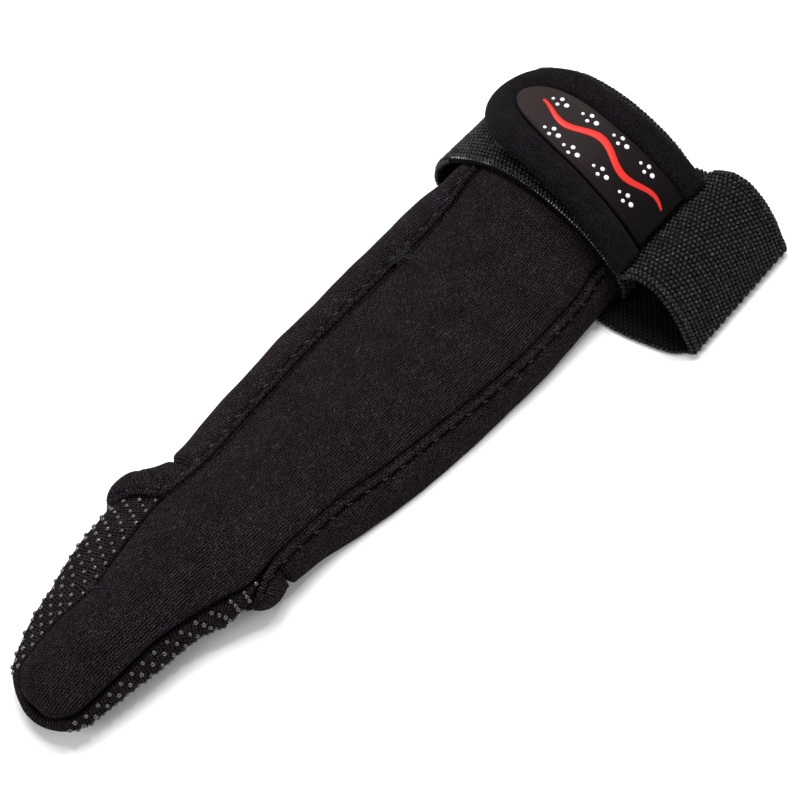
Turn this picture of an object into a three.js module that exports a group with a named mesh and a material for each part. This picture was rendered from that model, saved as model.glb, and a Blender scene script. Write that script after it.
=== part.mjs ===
import * as THREE from 'three';

// Finger guard: a neoprene back panel with a closed finger pocket at one end
// and an elastic wrist strap with a padded tab at the other.
// Millimetres, +Z up, fingertip towards -X, strap loop towards -Y.

// Body
const GUARD_LENGTH = 181.5;
const PANEL_WIDTH = 50;
const ARCH_HEIGHT = 18.7;
const NEOPRENE = 2.6;
const POCKET_LENGTH = 38.2;
const POCKET_HEIGHT = 14;
const TIP_ROUND = 6.6;
const TIP_FIRST_DEG = 8;
const TIP_FULLNESS = 0.6;
const TIP_DROP = 2.6;
const ARCH_FULLNESS = 0.75;
const MOUTH_BACK = 1.25;
const GRIP_CLOTH = 1.2;
const EDGE_BAND = 2.3;
const BAND_BULGE = 2.4;
const PIPING_RAISE = 0.8;
const PIPING_FADE = 4;
const SEAM_GAP = 0.35;
const LIP_GAP = 0.55;
const SEAM_SINK = 0.25;
const FOOT_INSET = 2.6;
const FOOT_RISE = 0.6;

// Strap
const STRAP_WIDTH = 36;
const STRAP_THICK = 1.6;
const STRAP_OVERHANG = 3.4;
const STRAP_START = GUARD_LENGTH + STRAP_OVERHANG - STRAP_WIDTH;
const LOOP_REACH = 21;
const LOOP_HEIGHT = 15.1;
const LOOP_FOOT = 2;
const FOLD_REACH = 5.4;
const FOLD_FOOT = 0.4;
const LAYER_GAP = 0.32;
const TUCK_SHARES = [0.15, 0.185, 0.22];

// Tab, hook tape and badge
const TAB_LENGTH = 56.3;
const TAB_WIDTH = 32.6;
const TAB_THICK = 2.8;
const TAB_ROUND = 21.5;
const TAB_TAPER = 0.15;
const TAB_LEAN = 4.9;
const TAB_ROOT = 12.8;
const TAB_FROM_STRAP = -1.4;
const STRAIGHT_SHARE = 0.5;
const LEAN_POWER = 2.4;
const UNDER_ROLL = 0.15;
const HOOK_THICK = 1.5;
const BADGE_LENGTH = 47.3;
const BADGE_WIDTH = 16.9;
const BADGE_THICK = 1;
const BADGE_FLOOR = 1.2;
const BADGE_GAP = 0.35;
const BADGE_ROUND = 23;
const BADGE_LEAN = 4.4;
const BADGE_START = 0.8;
const HOLE_EDGE = 0.7;
const FLOOR_EDGE = 0.03;
const SPINE_LENGTH = 0.8;
const SPINE_LEAN = 1.32;
const HOOK_MARGIN = 1.5;
const HOOK_LENGTH = 37;
const HOOK_WIDTH = 22;
const HOOK_SHIFT = 1;
const HOOK_CORNER = 0.88;

// Back panel, shares of its length, width and arch height.
// right and left are its two long edges, rise is the crown above their chord.
const PANEL_ROWS = [
  { at: 0.039, right: -0.124, rightZ: 0.45, left: 0.2, leftZ: 0.47, rise: 0.15 },
  { at: 0.085, right: -0.144, rightZ: 0.525, left: 0.206, leftZ: 0.545, rise: 0.17 },
  { at: 0.13, right: -0.156, rightZ: 0.555, left: 0.19, leftZ: 0.58, rise: 0.17 },
  { at: 0.174, right: -0.192, rightZ: 0.58, left: 0.216, leftZ: 0.6, rise: 0.16 },
  { at: 0.218, right: -0.24, rightZ: 0.59, left: 0.24, leftZ: 0.605, rise: 0.147 },
  { at: 0.251, right: -0.276, rightZ: 0.59, left: 0.256, leftZ: 0.59, rise: 0.13 },
  { at: 0.295, right: -0.266, rightZ: 0.55, left: 0.244, leftZ: 0.53, rise: 0.123 },
  { at: 0.339, right: -0.268, rightZ: 0.49, left: 0.252, leftZ: 0.44, rise: 0.123 },
  { at: 0.372, right: -0.272, rightZ: 0.45, left: 0.268, leftZ: 0.375, rise: 0.134 },
  { at: 0.449, right: -0.322, rightZ: 0.428, left: 0.29, leftZ: 0.342, rise: 0.14 },
  { at: 0.526, right: -0.366, rightZ: 0.428, left: 0.304, leftZ: 0.332, rise: 0.155 },
  { at: 0.603, right: -0.408, rightZ: 0.44, left: 0.296, leftZ: 0.375, rise: 0.17 },
  { at: 0.68, right: -0.434, rightZ: 0.46, left: 0.284, leftZ: 0.47, rise: 0.187 },
  { at: 0.763, right: -0.438, rightZ: 0.49, left: 0.268, leftZ: 0.64, rise: 0.235 },
  { at: 0.815, right: -0.416, rightZ: 0.535, left: 0.27, leftZ: 0.855, rise: 0.278 },
  { at: 1, right: -0.416, rightZ: 0.535, left: 0.27, leftZ: 0.855, rise: 0.278 },
];

// Free edges of the two side bands, in the same shares.
const EDGE_ROWS = [
  { at: 0.284, right: -0.334, rightZ: 0.12, left: 0.45, leftZ: 0.15 },
  { at: 0.312, right: -0.345, rightZ: 0.085, left: 0.426, leftZ: 0.14 },
  { at: 0.339, right: -0.356, rightZ: 0.065, left: 0.43, leftZ: 0.14 },
  { at: 0.372, right: -0.386, rightZ: 0.04, left: 0.444, leftZ: 0.14 },
  { at: 0.449, right: -0.444, rightZ: 0.03, left: 0.464, leftZ: 0.14 },
  { at: 0.526, right: -0.48, rightZ: 0.02, left: 0.48, leftZ: 0.14 },
  { at: 0.603, right: -0.5, rightZ: 0.02, left: 0.478, leftZ: 0.18 },
  { at: 0.68, right: -0.514, rightZ: 0.03, left: 0.466, leftZ: 0.27 },
  { at: 0.763, right: -0.516, rightZ: 0.09, left: 0.444, leftZ: 0.4 },
  { at: 0.803, right: -0.512, rightZ: 0.14, left: 0.396, leftZ: 0.54 },
  { at: 1, right: -0.512, rightZ: 0.14, left: 0.396, leftZ: 0.54 },
];

// Grip cloth below the panel's edge: how far it stands out past the seam, the
// height of its widest line, how far its lower rows lean to the tip, and the keel.
// back, lean and keel are shares of the pocket's length, left and right of the
// panel's width, widest of the pocket's height.
const POCKET_ROWS = [
  { back: 0.03, right: 0.034, left: 0.034, widest: 0.3, lean: 0, keel: 0.3 },
  { back: 0.22, right: 0.026, left: 0.082, widest: 0.33, lean: 0, keel: 0.4 },
  { back: 0.41, right: 0.028, left: 0.128, widest: 0.36, lean: 0, keel: 0.5 },
  { back: 0.61, right: 0.04, left: 0.182, widest: 0.37, lean: 0, keel: 0.64 },
  { back: 0.93, right: 0.016, left: 0.19, widest: 0.37, lean: 0.05, keel: 0.85 },
  { back: 1.1, right: 0.01, left: 0.175, widest: 0.37, lean: 0.13, keel: 0.93 },
];

// Mouth of the pocket, from the panel's edge down to the keel, in the same shares.
const MOUTH_LEFT = [
  { back: 1.14, side: 0.38, up: 0.57 },
  { back: 1.035, side: 0.425, up: 0.36 },
  { back: 1.005, side: 0.37, up: 0.05 },
  { back: 1, side: 0.24, up: 0 },
];
const MOUTH_RIGHT = [
  { back: 1.14, side: -0.3, up: 0.66 },
  { back: 1.1, side: -0.282, up: 0.4 },
  { back: 1.045, side: -0.19, up: 0.05 },
  { back: 1, side: -0.06, up: 0 },
];
const KEEL_SIDE = 0.08;

// Free edge of the band where it rounds the mouth, and its swell there as a share
// of the band's bulge.
const LIP_LEFT = [
  { along: 0, back: 1.345, side: 0.47, up: 0.19, swell: 1.17 },
  { along: 0.24, back: 1.29, side: 0.5, up: 0.14, swell: 1.71 },
  { along: 0.41, back: 1.235, side: 0.48, up: 0.07, swell: 2 },
  { along: 0.57, back: 1.2, side: 0.4, up: 0.01, swell: 1.04 },
  { along: 0.7, back: 1.23, side: 0.24, up: 0, swell: 0 },
  { along: 1, back: 1.23, side: 0.08, up: 0, swell: 0 },
];
const LIP_RIGHT = [
  { along: 0, back: 1.345, side: -0.33, up: 0.165, swell: 1 },
  { along: 0.11, back: 1.32, side: -0.32, up: 0.115, swell: 1.5 },
  { along: 0.28, back: 1.28, side: -0.285, up: 0.055, swell: 1.67 },
  { along: 0.52, back: 1.245, side: -0.19, up: 0.007, swell: 0.33 },
  { along: 0.7, back: 1.235, side: -0.09, up: 0, swell: 0 },
  { along: 1, back: 1.23, side: 0.08, up: 0, swell: 0 },
];

// Left fold of the strap: out past the panel's edge (share of the fold's reach)
// and height (share of the arch).
const SHOULDER_ROWS = [
  { out: -0.26, up: 0.717 },
  { out: 0.33, up: 0.578 },
  { out: 0.69, up: 0.396 },
  { out: 0.8, up: 0.235 },
];

// Loop of the strap: out past the panel's right edge (share of the loop's reach)
// and height (share of the loop's).
const LOOP_ROWS = [
  { out: 0.895, up: 0 },
  { out: 0.957, up: 0.05 },
  { out: 0.93, up: 0.12 },
  { out: 0.885, up: 0.2 },
  { out: 0.748, up: 0.49 },
  { out: 0.562, up: 0.748 },
  { out: 0.386, up: 0.887 },
  { out: 0.21, up: 0.9 },
  { out: 0.05, up: 0.775 },
  { out: -0.03, up: 0.68 },
];

// Foot of the left fold: out in the same shares, height in strap thicknesses.
const FOLD_ROWS = [
  { out: 0.94, lift: 1.5 },
  { out: 0.68, lift: 0.75 },
  { out: 0.26, lift: 0.5 },
];

// How far the strap's edge drifts towards the fingertip on its way under the panel.
// side is a share of the panel's width, drift of the strap's.
const DRIFT_ROWS = [
  { side: -0.93, drift: -0.01 },
  { side: -0.82, drift: -0.08 },
  { side: -0.55, drift: -0.155 },
  { side: -0.15, drift: -0.135 },
  { side: 0.25, drift: -0.05 },
  { side: 0.5, drift: 0.01 },
];

// Widths of the padded rim, outside to inside, and its height there.
const RIM_RINGS = [
  { inward: 0, height: 0.55 },
  { inward: 0.12, height: 0.86 },
  { inward: 0.4, height: 1 },
  { inward: 0.75, height: 0.97 },
  { inward: 0.93, height: 0.85 },
];

const vec = (x, y, z) => new THREE.Vector3(x, y, z);

// Smooth value of one column of a table at a place along it.
function follow(rows, key, column, place) {
  const last = rows.length - 1;
  let i = 0;
  while (i < last - 1 && place > rows[i + 1][key]) i += 1;
  const rate = (k) => (rows[k + 1][column] - rows[k][column]) / (rows[k + 1][key] - rows[k][key]);
  const slope = (k) => {
    if (k === 0) return rate(0);
    if (k === last) return rate(last - 1);
    const before = rate(k - 1);
    const after = rate(k);
    return before * after <= 0 ? 0 : (2 * before * after) / (before + after);
  };
  const a = rows[i];
  const b = rows[i + 1];
  const span = b[key] - a[key];
  const t = THREE.MathUtils.clamp((place - a[key]) / span, 0, 1);
  const t2 = t * t;
  const t3 = t2 * t;
  const fromA = (2 * t3 - 3 * t2 + 1) * a[column] + (t3 - 2 * t2 + t) * span * slope(i);
  const fromB = (3 * t2 - 2 * t3) * b[column] + (t3 - t2) * span * slope(i + 1);
  return fromA + fromB;
}

// Unit normals of a grid of points, pointing to the left of its columns seen along its rows.
function gridNormals(grid) {
  const rows = grid.length;
  const cols = grid[0].length;
  return grid.map((row, r) => row.map((_, c) => {
    const down = grid[Math.min(r + 1, rows - 1)][c].clone().sub(grid[Math.max(r - 1, 0)][c]);
    const across = row[Math.min(c + 1, cols - 1)].clone().sub(row[Math.max(c - 1, 0)]);
    return across.cross(down).normalize();
  }));
}

// Closed wall between two grids of points. With zip, the last column of the first
// half of the rows is also the last column of the second half, in reverse.
function wall(outer, inner, zip = false) {
  const rows = outer.length;
  const cols = outer[0].length;
  const positions = [];
  const index = [new Map(), new Map()];
  const id = (side, r, c) => {
    const mirrored = zip && c === cols - 1 && r > (rows - 1) / 2 ? rows - 1 - r : r;
    const key = mirrored * cols + c;
    if (!index[side].has(key)) {
      index[side].set(key, positions.length / 3);
      const p = (side === 0 ? outer : inner)[mirrored][c];
      positions.push(p.x, p.y, p.z);
    }
    return index[side].get(key);
  };
  const faces = [];
  const triangle = (a, b, c) => {
    if (a !== b && b !== c && c !== a) faces.push(a, b, c);
  };
  const quad = (a, b, c, d) => {
    triangle(a, b, c);
    triangle(a, c, d);
  };
  for (let r = 0; r < rows - 1; r += 1) {
    for (let c = 0; c < cols - 1; c += 1) {
      quad(id(0, r, c), id(0, r + 1, c), id(0, r + 1, c + 1), id(0, r, c + 1));
      quad(id(1, r, c), id(1, r, c + 1), id(1, r + 1, c + 1), id(1, r + 1, c));
    }
    quad(id(0, r, 0), id(1, r, 0), id(1, r + 1, 0), id(0, r + 1, 0));
    if (!zip) {
      const c = cols - 1;
      quad(id(0, r, c), id(0, r + 1, c), id(1, r + 1, c), id(1, r, c));
    }
  }
  for (let c = 0; c < cols - 1; c += 1) {
    const r = rows - 1;
    quad(id(0, 0, c), id(0, 0, c + 1), id(1, 0, c + 1), id(1, 0, c));
    quad(id(0, r, c), id(1, r, c), id(1, r, c + 1), id(0, r, c + 1));
  }
  const geometry = new THREE.BufferGeometry();
  geometry.setAttribute('position', new THREE.Float32BufferAttribute(positions, 3));
  geometry.setIndex(volumeOf(positions, faces) < 0 ? faces.reverse() : faces);
  geometry.computeVertexNormals();
  return geometry;
}

// Signed volume, which is negative when the faces point inwards.
function volumeOf(positions, faces) {
  const point = (i) => vec(positions[3 * i], positions[3 * i + 1], positions[3 * i + 2]);
  let volume = 0;
  for (let f = 0; f < faces.length; f += 3) {
    volume += point(faces[f]).dot(point(faces[f + 1]).cross(point(faces[f + 2]))) / 6;
  }
  return volume;
}

// Straight mix of two points.
const between = (a, b, share) => a.clone().lerp(b, share);

// Section of the panel: its right and left edges and the arch between them.
function panelEdge(at, side) {
  const y = follow(PANEL_ROWS, 'at', side, at) * PANEL_WIDTH;
  const z = follow(PANEL_ROWS, 'at', `${side}Z`, at) * ARCH_HEIGHT;
  return vec(at * GUARD_LENGTH, y, z);
}

function archPoint(at, across) {
  const rise = follow(PANEL_ROWS, 'at', 'rise', at) * ARCH_HEIGHT;
  const p = between(panelEdge(at, 'right'), panelEdge(at, 'left'), across);
  p.z += rise * (4 * across * (1 - across)) ** ARCH_FULLNESS;
  return p;
}

// Stations along the panel: close together round the tip, then even to the
// pocket's mouth and even to the wrist.
const TIP_STEPS = 7;
const POCKET_STEPS = 7;
const BODY_STEPS = 23;
const TIP_AT = PANEL_ROWS[0].at;
const MOUTH_AT = (MOUTH_BACK * POCKET_LENGTH) / GUARD_LENGTH;
const stations = [];
for (let k = 0; k < TIP_STEPS; k += 1) {
  const turn = THREE.MathUtils.degToRad(THREE.MathUtils.lerp(TIP_FIRST_DEG, 90, k / TIP_STEPS));
  stations.push({ at: TIP_AT, forward: TIP_ROUND * Math.cos(turn), narrow: Math.sin(turn) });
}
for (let k = 0; k < POCKET_STEPS; k += 1) {
  stations.push({ at: THREE.MathUtils.lerp(TIP_AT, MOUTH_AT, k / POCKET_STEPS), forward: 0, narrow: 1 });
}
for (let k = 0; k <= BODY_STEPS; k += 1) {
  stations.push({ at: THREE.MathUtils.lerp(MOUTH_AT, 1, k / BODY_STEPS), forward: 0, narrow: 1 });
}

// A station's arch, drawn in and dropped round the tip.
const ACROSS = 12;
function stationRow({ at, forward, narrow }) {
  const row = [];
  const middle = archPoint(at, 0.5);
  const low = Math.min(panelEdge(at, 'right').z, panelEdge(at, 'left').z);
  for (let c = 0; c <= ACROSS; c += 1) {
    const p = archPoint(at, c / ACROSS);
    p.y = middle.y + (p.y - middle.y) * narrow;
    p.z = low + (p.z - low) * narrow ** TIP_FULLNESS - (1 - narrow) * TIP_DROP;
    p.x -= forward;
    row.push(p);
  }
  return row;
}

// Back panel
const panelTop = stations.map(stationRow);
const panelNormals = gridNormals(panelTop);
const panelUnder = panelTop.map((row, r) => row.map((p, c) => {
  return p.clone().addScaledVector(panelNormals[r][c], NEOPRENE);
}));

// One long edge of the panel: point, direction along it, into its thickness and
// away from the panel.
const tipPoint = between(panelTop[0][0], panelTop[0][ACROSS], 0.5);

function panelSeam(row, side) {
  const c = side === 'right' ? 0 : ACROSS;
  const turn = side === 'right' ? 1 : -1;
  const point = panelTop[row][c];
  const down = panelNormals[row][c];
  const before = row === 0 ? tipPoint : panelTop[row - 1][c];
  const after = panelTop[Math.min(row + 1, panelTop.length - 1)][c];
  const along = after.clone().sub(before).multiplyScalar(turn);
  const out = down.clone().cross(along).normalize();
  return { point, along, down, out, at: stations[row].at };
}

// Finger pocket: rows from the left of the mouth, round the tip, to the right.
const POCKET_COLS = 9;
const seamCount = TIP_STEPS + POCKET_STEPS;
const keelSide = KEEL_SIDE * PANEL_WIDTH;

function pocketCurve(seam, below, keel) {
  const start = seam.point.clone();
  start.addScaledVector(seam.out, SEAM_GAP);
  start.addScaledVector(seam.down, NEOPRENE * SEAM_SINK);
  const curve = new THREE.CatmullRomCurve3([start, ...below, keel], false, 'centripetal');
  return curve.getSpacedPoints(POCKET_COLS).map((p) => vec(p.x, p.y, Math.max(p.z, 0)));
}

function pocketRow(seam, side) {
  const back = seam.point.x / POCKET_LENGTH;
  const column = (name) => follow(POCKET_ROWS, 'back', name, back);
  const overhang = column(side) * PANEL_WIDTH;
  const level = vec(seam.along.y, -seam.along.x, 0).normalize();
  const widest = seam.point.clone().addScaledVector(level, overhang);
  widest.x -= column('lean') * POCKET_LENGTH;
  widest.z = column('widest') * POCKET_HEIGHT;
  const keel = vec(column('keel') * POCKET_LENGTH, keelSide, 0);
  const foot = between(widest, keel, FOOT_INSET / widest.distanceTo(keel));
  foot.z = FOOT_RISE;
  return pocketCurve(seam, [widest, foot], keel);
}

function mouthRow(rows, side) {
  const below = rows.map(({ back, side: y, up }) => {
    return vec(back * POCKET_LENGTH, y * PANEL_WIDTH, up * POCKET_HEIGHT);
  });
  return pocketCurve(panelSeam(seamCount, side), below, vec(POCKET_LENGTH, keelSide, 0));
}

const nose = {
  point: tipPoint,
  along: vec(0, -1, 0),
  down: panelNormals[0][ACROSS / 2],
  out: vec(-1, 0, 0),
};
const pocketOuter = [mouthRow(MOUTH_LEFT, 'left')];
const pocketWalls = [panelSeam(seamCount, 'left').down];
for (let r = seamCount - 1; r >= 0; r -= 1) {
  pocketOuter.push(pocketRow(panelSeam(r, 'left'), 'left'));
  pocketWalls.push(panelSeam(r, 'left').down);
}
pocketOuter.push(pocketRow(nose, 'left'));
pocketWalls.push(nose.down);
for (let r = 0; r < seamCount; r += 1) {
  pocketOuter.push(pocketRow(panelSeam(r, 'right'), 'right'));
  pocketWalls.push(panelSeam(r, 'right').down);
}
pocketOuter.push(mouthRow(MOUTH_RIGHT, 'right'));
pocketWalls.push(panelSeam(seamCount, 'right').down);
const pocketNormals = gridNormals(pocketOuter);
const pocketInner = pocketOuter.map((row, r) => row.map((p, c) => {
  if (c === 0) return p.clone().addScaledVector(pocketWalls[r], GRIP_CLOTH);
  if (c === POCKET_COLS) return vec(p.x, p.y, p.z + GRIP_CLOTH);
  return p.clone().addScaledVector(pocketNormals[r][c], -GRIP_CLOTH);
}));

// Edge band: one strip from the wrist along the left edge, under the finger at
// the pocket's mouth, and back along the right edge.
const BAND_SHARES = [0, 0.05, 0.11, 0.18, 0.26, 0.42, 0.6, 0.78, 0.92, 1];
const PIPING_PROFILE = [0.35, 0.9, 1, 0.6, 0, 0, 0, 0, 0, 0];

function sideEdge(at, side) {
  const y = follow(EDGE_ROWS, 'at', side, at) * PANEL_WIDTH;
  const z = follow(EDGE_ROWS, 'at', `${side}Z`, at) * ARCH_HEIGHT;
  return vec(at * GUARD_LENGTH, y, z);
}

function sideBand(row, side) {
  const seam = panelSeam(row, side);
  const edge = sideEdge(seam.at, side);
  const towards = edge.clone().sub(seam.point).normalize();
  const start = seam.point.clone().addScaledVector(towards, SEAM_GAP);
  const fadeEnd = STRAP_START - PIPING_FADE;
  const covered = THREE.MathUtils.smoothstep(start.x, fadeEnd - PIPING_FADE, fadeEnd);
  return { start, edge, wallway: seam.down, swell: BAND_BULGE, piping: 1 - covered };
}

function lipBand(rows, side, c) {
  const mouth = side === 'left' ? 0 : pocketOuter.length - 1;
  const along = c / POCKET_COLS;
  const x = follow(rows, 'along', 'back', along) * POCKET_LENGTH;
  const y = follow(rows, 'along', 'side', along) * PANEL_WIDTH;
  const z = Math.max(follow(rows, 'along', 'up', along), 0) * POCKET_HEIGHT;
  const edge = vec(x, y, z);
  const rim = pocketOuter[mouth][c];
  const start = rim.clone().addScaledVector(edge.clone().sub(rim).normalize(), LIP_GAP);
  const wallway = c === 0 ? pocketWalls[mouth] : pocketNormals[mouth][c].clone().negate();
  const swell = follow(rows, 'along', 'swell', along) * BAND_BULGE;
  return { start, edge, wallway, swell, piping: 1 - along };
}

const bandSections = [];
const lastStation = stations.length - 1;
for (let r = lastStation; r > seamCount; r -= 1) bandSections.push(sideBand(r, 'left'));
for (let c = 0; c <= POCKET_COLS; c += 1) bandSections.push(lipBand(LIP_LEFT, 'left', c));
for (let c = POCKET_COLS - 1; c >= 0; c -= 1) bandSections.push(lipBand(LIP_RIGHT, 'right', c));
for (let r = seamCount + 1; r <= lastStation; r += 1) bandSections.push(sideBand(r, 'right'));

const bandMiddles = bandSections.map(({ start, edge }) => between(start, edge, 0.5));
const bandOuter = bandSections.map(({ start, edge, swell, piping }, r) => {
  const before = bandMiddles[Math.max(r - 1, 0)];
  const after = bandMiddles[Math.min(r + 1, bandMiddles.length - 1)];
  const across = edge.clone().sub(start);
  const outward = across.clone().cross(after.clone().sub(before)).normalize();
  const pull = between(start, edge, 0.5).addScaledVector(outward, swell);
  return BAND_SHARES.map((share, c) => {
    const p = between(between(start, pull, share), between(pull, edge, share), share);
    p.addScaledVector(outward, PIPING_PROFILE[c] * PIPING_RAISE * piping);
    p.z = Math.max(p.z, 0);
    return p;
  });
});
const bandNormals = gridNormals(bandOuter);
const bandInner = bandOuter.map((row, r) => row.map((p, c) => {
  if (c === 0) return p.clone().addScaledVector(bandSections[r].wallway, EDGE_BAND);
  const q = p.clone().addScaledVector(bandNormals[r][c], -EDGE_BAND);
  return vec(q.x, q.y, Math.max(q.z, 0));
}));

// Outline of the guard under the strap, from the right edge over the arch and
// out to the strap's left fold.
const WRIST_BAND_SHARES = [0.35, 0.7];
const WRIST_ARCH_SHARES = [0.02, 0.14, 0.3, 0.5, 0.7, 0.86, 0.98];
const wristRight = sideEdge(1, 'right');
const wristLeft = sideEdge(1, 'left');
const outline = [wristRight];
for (const share of WRIST_BAND_SHARES) {
  const last = bandOuter[bandOuter.length - 1];
  const c = BAND_SHARES.findIndex((s) => s >= 1 - share);
  outline.push(last[c].clone());
}
for (const share of WRIST_ARCH_SHARES) outline.push(archPoint(1, share));
for (const { out, up } of SHOULDER_ROWS) {
  outline.push(vec(GUARD_LENGTH, wristLeft.y + out * FOLD_REACH, up * ARCH_HEIGHT));
}
const outlineCurve = new THREE.CatmullRomCurve3(outline, false, 'centripetal');
const OUTLINE_STEPS = 160;
const SMOOTH_SPAN = 3;
const outlinePoints = outlineCurve.getSpacedPoints(OUTLINE_STEPS);
const outlineNormals = outlinePoints.map((_, i) => {
  const before = outlinePoints[Math.max(i - SMOOTH_SPAN, 0)];
  const after = outlinePoints[Math.min(i + SMOOTH_SPAN, OUTLINE_STEPS)];
  const along = after.clone().sub(before).normalize();
  return vec(0, -along.z, along.y);
});

// Point at a height above the outline; the share runs along it.
function overArch(share, height, x) {
  const place = THREE.MathUtils.clamp(share, 0, 1) * OUTLINE_STEPS;
  const i = Math.min(Math.floor(place), OUTLINE_STEPS - 1);
  const base = between(outlinePoints[i], outlinePoints[i + 1], place - i);
  const normal = between(outlineNormals[i], outlineNormals[i + 1], place - i).normalize();
  return vec(x, base.y + normal.y * height, base.z + normal.z * height);
}

// Layers above the outline: strap, then hook tape or strap end, then tab.
const STRAP_MIDDLE = LAYER_GAP + STRAP_THICK / 2;
const STRAP_TOP = LAYER_GAP + STRAP_THICK;
const TUCK_MIDDLE = STRAP_TOP + LAYER_GAP + STRAP_THICK / 2;
const TAB_UNDER = STRAP_TOP + 2 * LAYER_GAP + Math.max(STRAP_THICK, HOOK_THICK);

// Wrist strap: over the arch, round the left fold, under the guard, out to the
// loop and back up to the tab's root.
const OVER_STEPS = 20;
const TABLE_STEPS = 9;
const strapPath = [];
for (let k = 0; k <= OVER_STEPS; k += 1) {
  strapPath.push(overArch(k / OVER_STEPS, STRAP_MIDDLE, STRAP_START));
}
for (const { out, lift } of FOLD_ROWS) {
  strapPath.push(vec(STRAP_START, wristLeft.y + out * FOLD_REACH, lift * STRAP_THICK));
}
const tableFrom = wristLeft.y - FOLD_FOOT * FOLD_REACH;
const tableTo = wristRight.y - LOOP_ROWS[0].out * LOOP_REACH + LOOP_FOOT;
for (let k = 0; k <= TABLE_STEPS; k += 1) {
  const y = THREE.MathUtils.lerp(tableFrom, tableTo, k / TABLE_STEPS);
  const drift = follow(DRIFT_ROWS, 'side', 'drift', y / PANEL_WIDTH) * STRAP_WIDTH;
  strapPath.push(vec(STRAP_START + drift, y, STRAP_THICK / 2));
}
for (const { out, up } of LOOP_ROWS) {
  const z = up * LOOP_HEIGHT + STRAP_THICK / 2;
  strapPath.push(vec(STRAP_START, wristRight.y - out * LOOP_REACH, z));
}
for (const share of TUCK_SHARES) strapPath.push(overArch(share, TUCK_MIDDLE, STRAP_START));
const strapCurve = new THREE.CatmullRomCurve3(strapPath, false, 'centripetal');
const STRAP_STEPS = 120;
const STRAP_COLS = 3;
const strapMiddle = strapCurve.getSpacedPoints(STRAP_STEPS).map((p) => {
  const row = [];
  for (let c = 0; c <= STRAP_COLS; c += 1) {
    row.push(vec(p.x + (STRAP_WIDTH * c) / STRAP_COLS, p.y, Math.max(p.z, STRAP_THICK / 2)));
  }
  return row;
});
const strapNormals = gridNormals(strapMiddle);
const strapFace = (reach) => strapMiddle.map((row, r) => row.map((p, c) => {
  return p.clone().addScaledVector(strapNormals[r][c], reach);
}));

// Tab outline, and any outline inside it: straight sides, then a round end that
// leans away from the fingertip. Steps run from the root on one side to the other.
const TAB_HALF_STEPS = 15;
const tabMiddle = STRAP_START + TAB_FROM_STRAP + TAB_WIDTH / 2;
function tonguePoint(step, length, width, round, lean, start) {
  const side = step <= TAB_HALF_STEPS ? -1 : 1;
  const from = (step <= TAB_HALF_STEPS ? step : 2 * TAB_HALF_STEPS - step) / TAB_HALF_STEPS;
  const straight = length - round;
  let along = (straight * from) / STRAIGHT_SHARE;
  let half = (width / 2) * (1 - TAB_TAPER * Math.min(from / STRAIGHT_SHARE, 1));
  if (from > STRAIGHT_SHARE) {
    const turn = ((from - STRAIGHT_SHARE) / (1 - STRAIGHT_SHARE)) * (Math.PI / 2);
    along = straight + round * Math.sin(turn);
    half *= Math.cos(turn);
  }
  const sway = lean * (along / length) ** LEAN_POWER;
  return { along: start + along, x: tabMiddle + sway + side * half };
}

// Length along the top of the tab, turned into a share of the outline.
const tabTopLengths = [0];
for (let i = 1; i <= OUTLINE_STEPS; i += 1) {
  const a = overArch((i - 1) / OUTLINE_STEPS, TAB_UNDER + TAB_THICK, 0);
  const b = overArch(i / OUTLINE_STEPS, TAB_UNDER + TAB_THICK, 0);
  tabTopLengths.push(tabTopLengths[i - 1] + a.distanceTo(b));
}
function onTab(along, x, height) {
  const wanted = TAB_ROOT + along;
  let i = 1;
  while (i < OUTLINE_STEPS && tabTopLengths[i] < wanted) i += 1;
  const span = tabTopLengths[i] - tabTopLengths[i - 1];
  const share = (i - 1 + (wanted - tabTopLengths[i - 1]) / span) / OUTLINE_STEPS;
  return overArch(share, TAB_UNDER + height, x);
}

const tabSteps = [];
for (let step = 0; step <= 2 * TAB_HALF_STEPS; step += 1) tabSteps.push(step);
const recessLength = BADGE_START + BADGE_LENGTH + BADGE_GAP;
const recessWidth = BADGE_WIDTH + 2 * BADGE_GAP;
const FLOOR_SHARES = [FLOOR_EDGE, 0.35, 0.7, 1];
const tabTop = [];
const tabUnder = [];
for (const step of tabSteps) {
  const rim = tonguePoint(step, TAB_LENGTH, TAB_WIDTH, TAB_ROUND, TAB_LEAN, 0);
  const hole = tonguePoint(step, recessLength, recessWidth, BADGE_ROUND, BADGE_LEAN, 0);
  const spineX = tabMiddle + SPINE_LEAN * (hole.along / TAB_LENGTH);
  const spine = { along: hole.along * SPINE_LENGTH, x: spineX };
  const rings = RIM_RINGS.map(({ inward, height }) => ({
    along: THREE.MathUtils.lerp(rim.along, hole.along, inward),
    x: THREE.MathUtils.lerp(rim.x, hole.x, inward),
    height: height * TAB_THICK,
  }));
  rings.push({ ...hole, height: TAB_THICK * HOLE_EDGE });
  for (const inward of FLOOR_SHARES) {
    rings.push({
      along: THREE.MathUtils.lerp(hole.along, spine.along, inward),
      x: THREE.MathUtils.lerp(hole.x, spine.x, inward),
      height: BADGE_FLOOR,
    });
  }
  tabTop.push(rings.map(({ along, x, height }) => onTab(along, x, height)));
  tabUnder.push(rings.map(({ along, x }, c) => {
    return onTab(along, x, c === 0 ? TAB_THICK * UNDER_ROLL : 0);
  }));
}

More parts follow.
